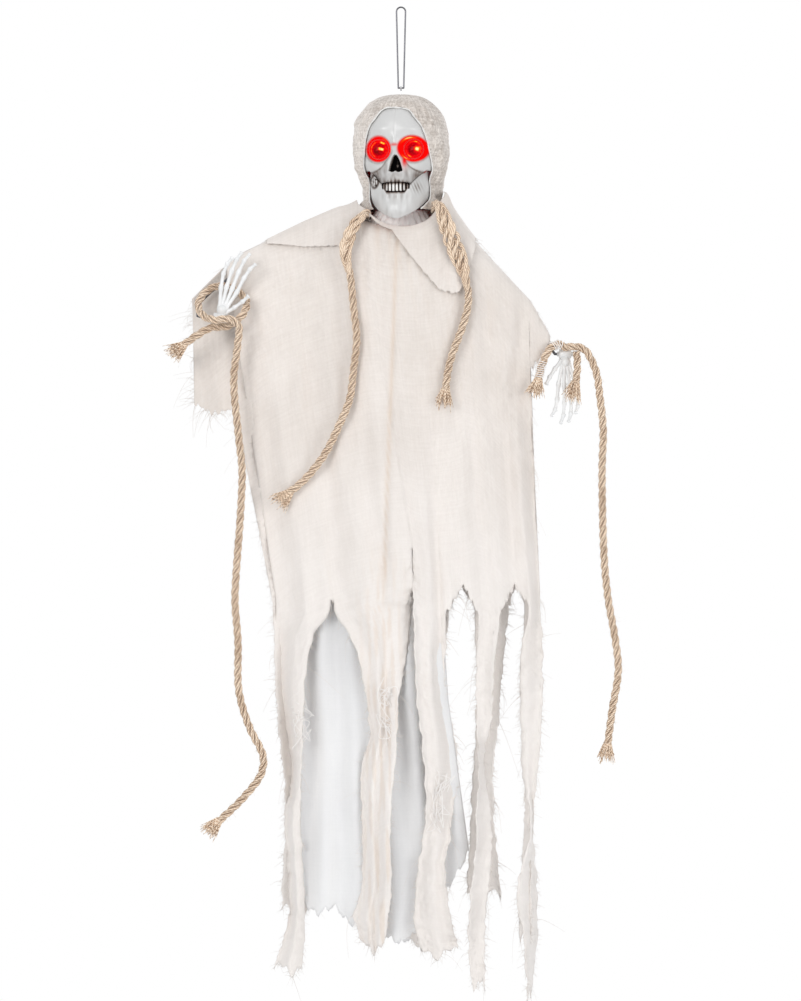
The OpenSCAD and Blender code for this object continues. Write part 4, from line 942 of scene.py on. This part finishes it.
def robe_depth(x_top, x, d, inside):
    """How far a panel stands from the middle plane, d below the shoulder and inside from its side seam.

    It starts at the shoulder seam or the neck ring and comes, over a few millimetres, to a body that is
    fullest in the middle, draws in at the side seams below the arms, and is a little fuller lower down.
    """
    top = 0.35 + 18 * neck_arc(x_top)
    near = ease(inside / 32)
    side = near + (1 - near) * blend(0.6, 0.02, ease((d - 60) / 90))
    body = (10 + 21 * np.exp(-(x / 75) ** 2) + 6 * np.clip(d / 500, 0, 1)) * side
    return top + (body - top) * (1 - np.exp(-d / 7))


def robe_folds(u, d, count, seed):
    """Upright folds, 0 to 1 deep: cosine waves across the panel of uneven width, deeper further down."""
    warp = u + 0.018 * np.sin(17 * u + seed) + 0.006 * np.sin(0.02 * d + 31 * u + seed)
    deep = (0.3 + 0.7 * np.clip((d - 120) / 200, 0, 1)) * np.clip(d / 60, 0, 1)
    uneven = 0.62 + 0.38 * np.sin(23 * u + 2.3 * seed)
    return deep * uneven * (0.5 - 0.5 * np.cos(2 * np.pi * count * warp))


def panel_columns(columns):
    """Columns of a panel filled in evenly, and the number of the strip under each cell, or -1."""
    cells = columns[:-1, 3].astype(int) * fine_cells
    place = [k + np.arange(n) / n for k, n in enumerate(cells)] + [[len(columns) - 1]]
    place = np.concatenate(place)[None, :]
    x_top, x_hem, z_hem = (np.interp(place, np.arange(len(columns)), columns[:, i]) for i in range(3))
    strip = np.repeat(np.where(columns[:-1, 4] > 0, np.cumsum(columns[:-1, 4] > 0) - 1, -1), cells)
    return place, x_top, x_hem, z_hem, strip


def torn_strips(strips, strip, x_hem, torn, x_foot, seed):
    """Rows of a panel's strips below its torn hem: x, y and z.

    A strip goes on from the hem between its two ragged edges, given as rows of z, left x and right x. Where
    it grows narrower it turns its flat side away.
    """
    g = np.linspace(0, 1, strip_rows + 1)[1:, None]
    x = np.repeat(x_foot, strip_rows, axis=0)
    y = np.zeros_like(x)
    z = np.repeat(torn, strip_rows, axis=0)
    for k, edges in enumerate(strips):
        edges = np.array(edges, float)[::-1]
        own = np.flatnonzero(strip == k)
        own = np.append(own, own[-1] + 1)
        t = np.linspace(0, 1, len(own))[None, :]
        low = blend(torn[:, own], edges[0, 0] + 5 * np.sin(7 * t + k) + 3 * np.sin(17 * t + 2 * k), g)
        ragged = [0.5 * ripple(low, 0 * low, 23, own_seed - 20) + 0.35 * ripple(low, 0 * low, 5, own_seed)
                  for own_seed in (seed + k + 40, seed + k + 80)]
        left, right = (curve(low, edges[:, 0], edges[:, i]) + ease(g / 0.06) * ragged[i - 1] for i in (1, 2))
        full = (edges[:, 2] - edges[:, 1]).max()
        turned = np.sqrt(np.maximum(0, full ** 2 - np.minimum(right - left, full) ** 2))
        sway = np.sin(0.013 * low + 1.7 * k + seed)
        x[:, own] = blend(x_hem[:, own], blend(left, right, t), ease(g / 0.10))
        y[:, own] = ease(g / 0.2) * ((t - 0.5) * np.minimum(turned, 14) * np.tanh(2.5 * sway) + 2.5 * sway)
        z[:, own] = low
    return x, y, z


def robe_panel(name, node, columns, strips, seams, side, seed):
    """One panel of the robe with its torn strips, in front where side is -1.

    The body runs down from the shoulder line in steps that grow, and each column stops at its own torn hem.
    It has folds and puckers that spray from the neck, and in front a long crease and a tuck by the right arm.
    """
    place, x_top, x_hem, z_hem, strip = panel_columns(columns)
    z_top = shoulder_z(x_top)
    torn = z_hem + 2.2 * np.sin(place * 21 + seed) + 1.6 * np.sin(place * 47)
    down = np.linspace(0, 1, body_rows + 1)[:, None]
    body_z = np.maximum(z_top - (z_top - torn).max() * down * (0.4 + 0.6 * down), torn)
    body_x = blend(x_top, x_hem, (z_top - body_z) / (z_top - z_hem))
    strip_x, strip_y, strip_z = torn_strips(strips, strip, x_hem, torn, body_x[-1:], seed)
    x, z = np.vstack([body_x, strip_x]), np.vstack([body_z, strip_z])
    d = z_top - z
    u = (x_top - x_top[0, 0]) / (x_top[0, -1] - x_top[0, 0])
    inside = np.minimum(x_top - seams[0], seams[1] - x_top)
    spray = x_top * (1 - 0.45 * np.clip(d / 90, 0, 1))
    pucker = np.cos(0.62 * spray + 2 * np.sin(0.11 * spray))
    crease = x + 4 + 0.035 * d
    out = (robe_depth(x_top, x, d, inside) - 8 * robe_folds(u, d, 8, seed) * ease(inside / 25)
           + np.clip(d / 40, 0, 1) * (0.7 * ripple(x, z / 3, 26, seed) + 0.25 * ripple(x, z, 9, seed + 1))
           + 1.1 * pucker * neck_arc(x_top) * np.exp(-d / 38))
    if side < 0:
        tuck = bell(x - 114 + 0.10 * d, 5) - bell(x - 124 + 0.10 * d, 4)
        out = (out - 3.0 * bell(crease, 3.0) * ease(d / 30) * (1 - ease((d - 330) / 60))
               + 2.2 * tuck * ease((d - 10) / 40) * (1 - ease((d - 120) / 80)))
    y = side * out + np.vstack([np.zeros_like(body_x), strip_y])
    whole = body_z[:-1] > torn + 1e-6
    keep = np.vstack([whole[:, :-1] | whole[:, 1:], np.repeat(strip[None, :] >= 0, strip_rows, axis=0)])
    # Painted shade, tan: along the long crease in front and in the troughs of the puckers by the neck; and
    # tan streaks low down in the middle.
    dye = (0.40 * bell(crease, 1.8) * ease(d / 20) * (1 - ease((d - 350) / 60))
           + 0.30 * np.clip(-pucker, 0, 1) * neck_arc(x_top) * np.exp(-d / 38)
           + 0.30 * ease((d - 310) / 80) * bell(x + 18, 20) * np.clip(ripple(x, z / 14, 6, seed + 9), 0, 1))
    uv = np.stack(np.broadcast_arrays(x_top, d), axis=-1) / 1000
    # Painted light: the cloth is paler towards the foot.
    return cloth_grid(name, "robe_gauze", node, xyz(x, y, z), uv, robe_gauze, keep, dye=np.clip(dye, 0, 0.6),
                      wear=0.42 * ease((d - 120) / 320))


# Columns of the front: x at the shoulder, x and z at the hem, cells to the next, and 1 where a strip hangs
front_columns = np.array([
    [-175, -125, -592, 5, 1], [-120, -70, -592, 1, 0], [-117, -67, -592, 6, 1], [-46, 10.6, -540, 1, 0],
    [-43, 11.4, -540, 5, 1], [18, 44, -606, 2, 0], [29, 62, -576, 2, 0], [40, 77, -606, 3, 1],
    [60, 98, -606, 2, 0], [78, 113, -578, 2, 0], [94, 127, -596, 3, 1], [125, 139, -588, 1, 0],
    [127, 128, -362, 1, 0], [137, 138, -352, 1, 0], [148.5, 149, -336, 0, 0]])
front_strips = [
    [(-592, -125, -70), (-628, -125, -88), (-686, -122, -96), (-732, -112, -98), (-778, -110, -99),
     (-809, -117, -100), (-858, -113, -98), (-908, -112, -96), (-960, -127, -99)],
    [(-592, -67, 11.5), (-643, -44, 6), (-686, -35, -2), (-724, -31, -4), (-755, -39, -6), (-801, -39, -10),
     (-878, -39, -10), (-905, -47, -13), (-936, -37, -17)],
    [(-540, 11.4, 30), (-601, 12, 44), (-678, 15, 44), (-747, 22, 56), (-801, 25, 52), (-858, 17, 44),
     (-908, 13, 50), (-941, 20, 59)],
    [(-606, 77, 98), (-659, 75, 92), (-709, 75, 90), (-747, 77, 82), (-801, 75, 89), (-847, 73, 90),
     (-908, 67, 84), (-974, 69, 83)],
    [(-596, 127, 139), (-628, 121, 141), (-666, 119, 142), (-720, 120, 140), (-762, 121, 136),
     (-820, 129, 132), (-878, 115, 136), (-935, 123, 136), (-984, 125, 131)]]
robe_front = robe_panel("robe_front_gauze", "robe_front", front_columns, front_strips, (-175, 125), -1, 1)
back_columns = np.array([
    [-209, -207, -395, 2, 0], [-196, -188, -406, 2, 0], [-178, -166, -400, 1, 0], [-168, -128, -596, 4, 1],
    [-118, -84, -604, 1, 0], [-106, -72, -580, 1, 0], [-92, -58, -606, 3, 1], [-50, -14, -600, 1, 0],
    [-40, -2, -572, 1, 0], [-28, 10, -604, 4, 1], [20, 48, -604, 1, 0], [32, 60, -578, 1, 0],
    [46, 74, -600, 3, 1], [84, 108, -600, 1, 0], [94, 116, -574, 1, 0], [104, 124, -596, 2, 1],
    [125, 137, -590, 1, 0], [128, 130, -360, 2, 0], [148.5, 149, -336, 0, 0]])
back_strips = [
    [(-596, -128, -84), (-700, -124, -94), (-790, -116, -96), (-903, -120, -88)],
    [(-606, -58, -14), (-690, -62, -28), (-780, -58, -36), (-868, -66, -30)],
    [(-604, 10, 48), (-720, 6, 36), (-830, 8, 34), (-936, 2, 40)],
    [(-600, 74, 108), (-690, 76, 100), (-780, 72, 92), (-888, 66, 100)],
    [(-596, 124, 137), (-690, 120, 134), (-800, 124, 130), (-926, 118, 130)]]
robe_back = robe_panel("robe_back_gauze", "robe_back", back_columns, back_strips, (-168, 125), 1, 4)


# Collar. A strip of gauze gathered round the neck and sewn into the neckline, in upright pleats. Its foot
# is drawn forward in front to meet the robe.

collar_heights = [-222, -216, -209, -203]
turn, f = np.meshgrid(np.linspace(0, 2 * np.pi, 241), np.linspace(0, 1, 24))
z = blend(collar_heights[0], collar_heights[-1], f)
pleat = (0.7 * np.cos(26 * turn + 2 * np.sin(3 * turn)) * ease((1.15 - f) / 0.5)
         + 0.25 * ripple(turn * 28, z, 9, 51))
x = (np.interp(z, collar_heights, [37.5, 33, 27.5, 24.5]) + pleat) * np.sin(turn)
y = -(np.interp(z, collar_heights, [17, 16.8, 16.2, 15.5]) + pleat) * np.cos(turn)
y = y - 5 * np.clip(np.cos(turn), 0, 1) ** 1.2 * ease((-219.4 - z) / 2.4)
uv = np.stack([turn * 28, z], axis=-1) / 1000
# Painted light: the whole collar is made paler against the shade under the chin.
collar = cloth_grid("collar_gauze", "hood_gauze", "collar", xyz(x, y, z), uv, robe_gauze,
                    wear=np.ones_like(z))[0]


# Cape. A short shoulder cape of the same gauze, tacked over the robe, longer on its right front corner. Its
# hem is torn too.

cape_left, cape_neck, cape_right = 60, 71, 30
cape_x = np.concatenate([np.linspace(-134, -44.5, cape_left), np.linspace(-44, 44, cape_neck),
                         np.linspace(44.5, 74, cape_right)])
cape_back, cape_front = 40, 60
cape_steps = np.concatenate([np.linspace(-1, -0.02, cape_back), np.linspace(0.02, 1, cape_front)])
x, s = np.meshgrid(cape_x, cape_steps)
over = 2.4 + 1.8 * ease((x - 46) / 10)
hem_z = np.interp(x, [-8, 9, 24, 39, 55, 64, 74], [-227, -249, -267, -284, -287, -277, -240])
left_hem = np.interp(x, [-134, -97, -58, -51, -44.5, -36, -30, -8], [5, 24, 36, 30, 14, 4, 1.5, 4])
front_hem = np.where(x < -8, left_hem, shoulder_z(x) + over - 5 * neck_arc(x) - hem_z)
back_hem = np.interp(x, [-134, -97, -50, 0, 40, 74], [5, 30, 60, 70, 60, 6])
left_x, right_x = [-134, -97, -70, -58, -51, -44.5], [44.5, 48, 51, 54, 60, 74]
left_rise, right_rise = [-1, 3, 6, 7, 8.5, 11], [23, 19, 11, 5, 3, 0]
front_rise = curve(x, [*left_x, -40, -35, -28, -20, 0, 20, 30, 36, 40, *right_x],
                   [*left_rise, 12, 12, 8, 4.5, 2, 4.5, 9, 16, 22, *right_rise])
back_rise = curve(x, [*left_x, -36, 0, 36, *right_x], [*left_rise, 15, 8, 17, *right_rise])
ragged = 1 + 0.012 * np.sin(x * 0.9) + 0.008 * np.sin(x * 2.3)
down = np.abs(s) * np.where(s < 0, back_hem, front_hem) * ragged
d = down + 5 * neck_arc(x)
lift = ease(np.abs(s) / 0.2) * (0.5 * ripple(x, d, 30, 8) + 0.3 * ripple(x, d / 3, 12, 9))
reach = robe_depth(x, x, d, np.full_like(x, 60.0)) + over + 0.4 + lift
y = -np.sign(s) * reach
z = shoulder_z(x) + over - d + np.where(s < 0, back_rise, front_rise) * np.exp(-down / 10)
keep = np.ones((len(cape_steps) - 1, len(cape_x) - 1), bool)
keep[cape_back - 1, cape_left:cape_left + cape_neck - 1] = False
uv = np.stack([x, np.sign(s) * d], axis=-1) / 1000
cape = cloth_grid("cape_gauze", "hood_gauze", "cape", xyz(x, y, z), uv, robe_gauze, keep)


# Hood. Gauze gathered over the skull and stitched to the robe at the neck. It is open round the face and
# closed above the forehead, and a rolled hem runs round the opening.

hood_foot, hood_top = -203, -87.4
rear_drop = 13
opening_top = -103
crown_heights = [-106, -99, -94, -90, -88.2, hood_top]


def oval(half, deep, turn):
    """Radius of an ellipse at an angle from the front."""
    return 1 / np.hypot(np.sin(turn) / half, np.cos(turn) / deep)


def hood_edge(z):
    """Angle of the edge of the face opening by height, or a sliver where the hood is closed in front."""
    half = curve(z, [hood_foot, -198, -191, -186, -174, -164, -147, -134.5, -122, -113.5, -107, -104.3,
                     opening_top], [18.5, 23, 27, 28.7, 30.2, 32.8, 31, 28.8, 24, 17.5, 12.8, 8, 5])
    low = np.maximum(z, skull_heights[0])
    wide = oval(skull_half(low), face_depth(low), math.radians(50))
    sliver = math.radians(6)
    return np.where(z > opening_top, sliver, np.maximum(sliver, np.arcsin(np.minimum(0.97, half / wide))))


def hood_surface(turn, z):
    """Hood at an angle from the front and a height: close to the skull at the face edge, loose further
    back, with gathers that run up from the neck and small creases."""
    edge = hood_edge(z)
    side = np.abs(turn)
    low = np.maximum(z, skull_heights[0])
    near = oval(np.maximum(skull_half(low), np.where(z < -165, 29, 0)), face_depth(low), turn) + 2.2
    half = curve(z, [hood_foot, -196, -186, -172, -155, -141, -129, -116, *crown_heights],
                 [42, 41.5, 41.5, 43, 46.5, 47.6, 46.8, 44.8, 40.3, 34.4, 28.6, 21.5, 13.5, 5])
    rear = curve(z, [-216, hood_foot, -196, -186, -172, -155, -141, -126, -113, -104, -98, -94, -90, -88.2,
                     hood_top], [31.5, 34, 38, 45, 51, 55.5, 58, 59, 55.5, 48.5, 40, 31.5, 21.5, 13.5, 5])
    front = curve(z, [hood_foot, -141, -129, -116, *crown_heights],
                  [30, 50, 50.5, 50, 45, 38, 30, 21.5, 13.5, 5])
    deep = np.where(side > np.pi / 2, rear, front)
    t = np.maximum(ease((side - edge) / math.radians(34)), ease((z + 106) / 8))
    r = blend(near, oval(half, deep, turn), t)
    r = np.where(z > -186, np.maximum(r, near), r)
    gather = ease((-150 - z) / 45) * np.cos(turn * 16 + 1.5 * np.sin(turn * 5)) * 0.9
    crease = 0.5 * ripple(turn * 45, z, 22, 31) + 0.25 * ripple(turn * 45, z, 9, 32)
    r = r + ease((side - edge) / 0.25) * (gather + crease) * ease((-89 - z) / 8)
    return head_turned(np.stack([r * np.sin(turn), -r * np.cos(turn), z], axis=-1))


hood_gauze = weave_finish("hood_gauze", (0.92, 0.845, 0.775), (0.40, 0.34, 0.29), 0.0011, 0.6, 0.9)
level, place = np.meshgrid(np.linspace(0, 1, 130), np.linspace(0, 1, 220), indexing="ij")
z = blend(hood_foot, hood_top, 1 - (1 - level) ** 1.6)
edge = hood_edge(z)
turn = edge + (2 * np.pi - 2 * edge) * place
turn = np.where(turn > np.pi, turn - 2 * np.pi, turn)
z = z - rear_drop * ease((np.abs(turn) - 1.3) / 0.6) * (1 - level) ** 6
points = hood_surface(turn, z)
open_front = z[:, 0] <= opening_top - 0.5
keep = np.ones((len(z) - 1, z.shape[1]), bool)
keep[:, -1] = ~open_front[:-1]
uv = np.stack([turn * 45, z], axis=-1) / 1000
points_round, uv_round = (np.concatenate([grid, grid[:, :1]], axis=1) for grid in (points, uv))
hood = cloth_grid("hood_gauze_cloth", "hood_gauze", "hood", points_round, uv_round, hood_gauze, keep)[0]

hem_thread = plain_finish("hem_thread", (0.82, 0.80, 0.77), 0.8, 0.0006, 0.00006)
open_rows = np.flatnonzero(open_front)
hem_line = np.vstack([points[open_rows, 0], points[open_rows[::-1], -1]]) / 1000
hem_line = smooth_line(hem_line[::4], 0.0015)
points, faces = tube_along(hem_line, gauze_thick * (1 + 0.2 * np.sin(np.arange(len(hem_line)))))
dress(new_piece("hood_hem", points, faces, hem_thread))


# Loose threads. The torn edges of the robe and the cape fray into short whiskers all along, and here and
# there a long thread hangs out and curls. The left cuff frays most, threads are tangled on three of the
# strips, and the right cuff is lashed to the rope with white thread.

fray_draw = np.random.default_rng(23)
tangle_r, lash_r, lash_pitch = 0.00030, 0.00042, 0.0021


def torn_edges(points, cells):
    """Free edges of a sheet that don't face up: middle, way along, way out of the cloth and length of
    each."""
    pairs = np.concatenate([cells[:, [i, (i + 1) % 4]] for i in range(4)])
    inner = np.tile(points[cells].mean(axis=1), (4, 1))
    real = pairs[:, 0] != pairs[:, 1]
    pairs, inner = np.sort(pairs[real], axis=1), inner[real]
    edges, first, count = np.unique(pairs, axis=0, return_index=True, return_counts=True)
    edges, inner = edges[count == 1], inner[first[count == 1]]
    start, end = points[edges[:, 0]], points[edges[:, 1]]
    along = unit(end - start)
    out = square_to((start + end) / 2 - inner, along)
    free = out[:, 2] < 0.3
    return (start + end)[free] / 2, along[free], out[free], np.linalg.norm(end - start, axis=1)[free]


def fray(name, sheet, spacing=0.0020):
    """Piece with the loose threads of a sheet: whiskers at a spacing along its free edges, and one long
    thread for every 24 whiskers. Both are longer at the left cuff."""
    middle, along, out, length = torn_edges(*sheet[1:])
    parts = []
    for share, short, reach, thick, knots, longer, sag in ((1, 0.0014, 0.0060, 0.00020, 4, 1.6, 1.0),
                                                           (24, 0.007, 0.020, 0.00024, 9, 0.2, 2.2)):
        count = int(length.sum() / spacing / share)
        at = fray_draw.choice(len(length), count, p=length / length.sum())
        cuff = 1 + longer * ((middle[at, :1] < -0.16) & (middle[at, 2:] > -0.43))
        size = cuff * fray_draw.uniform(short, reach, (count, 1))
        aside = along[at] * fray_draw.uniform(-0.5, 0.5, (count, 1)) * length[at, None]
        start = middle[at] + aside - 0.0006 * out[at]
        lean = size * (out[at] + along[at] * fray_draw.normal(0, 0.45, (count, 1))
                       + fray_draw.normal(0, 0.18, (count, 3)))
        drop = size * fray_draw.uniform(0.1, sag, (count, 1)) * [0, 0, -1]
        bend = drop + size * fray_draw.normal(0, 0.45, (count, 3)) * [1, 0.35, 0.4]
        parts.append(threads(start, lean, bend, thick * fray_draw.uniform(0.7, 1.3, count), knots))
    points, faces, uv = join_parts(parts)
    dress(new_piece(name, points, faces, robe_gauze, uv))


fray("robe_front_threads", robe_front)
fray("robe_back_threads", robe_back)
fray("cape_threads", cape, 0.0028)

parts = []
for middle in ((-101, -25, -700), (-100, -25, -722), (-16, -39, -690), (-14, -39, -715), (39, -35, -775),
               (38, -35, -800)):
    for _ in range(3):
        line = smooth_line((middle + fray_draw.normal(0, 1, (9, 3)) * [5.5, 1.2, 9]) / 1000, 0.0015)
        parts.append(tube_along(line, np.full(len(line), tangle_r), 5))
right_line = right_rope[1]
along, beside, across = turning_frame(right_line)
for first, last in ((0.006, 0.022), (0.040, 0.050)):
    way = np.arange(first, last, 0.00012)
    turn = 2 * np.pi * (way - first)[:, None] / lash_pitch
    at = np.searchsorted(way_along(right_line), way)
    stand = (0.0045 + 0.0004 * np.sin(0.7 * turn)) * (np.cos(turn) * beside[at] + np.sin(turn) * across[at])
    parts.append(tube_along(points_at(right_line, way) + stand, np.full(len(way), lash_r), 6))
points, faces, uv = join_parts(parts)
dress(new_piece("tangled_threads", points, faces, robe_gauze, uv, wear=np.ones(len(points))))
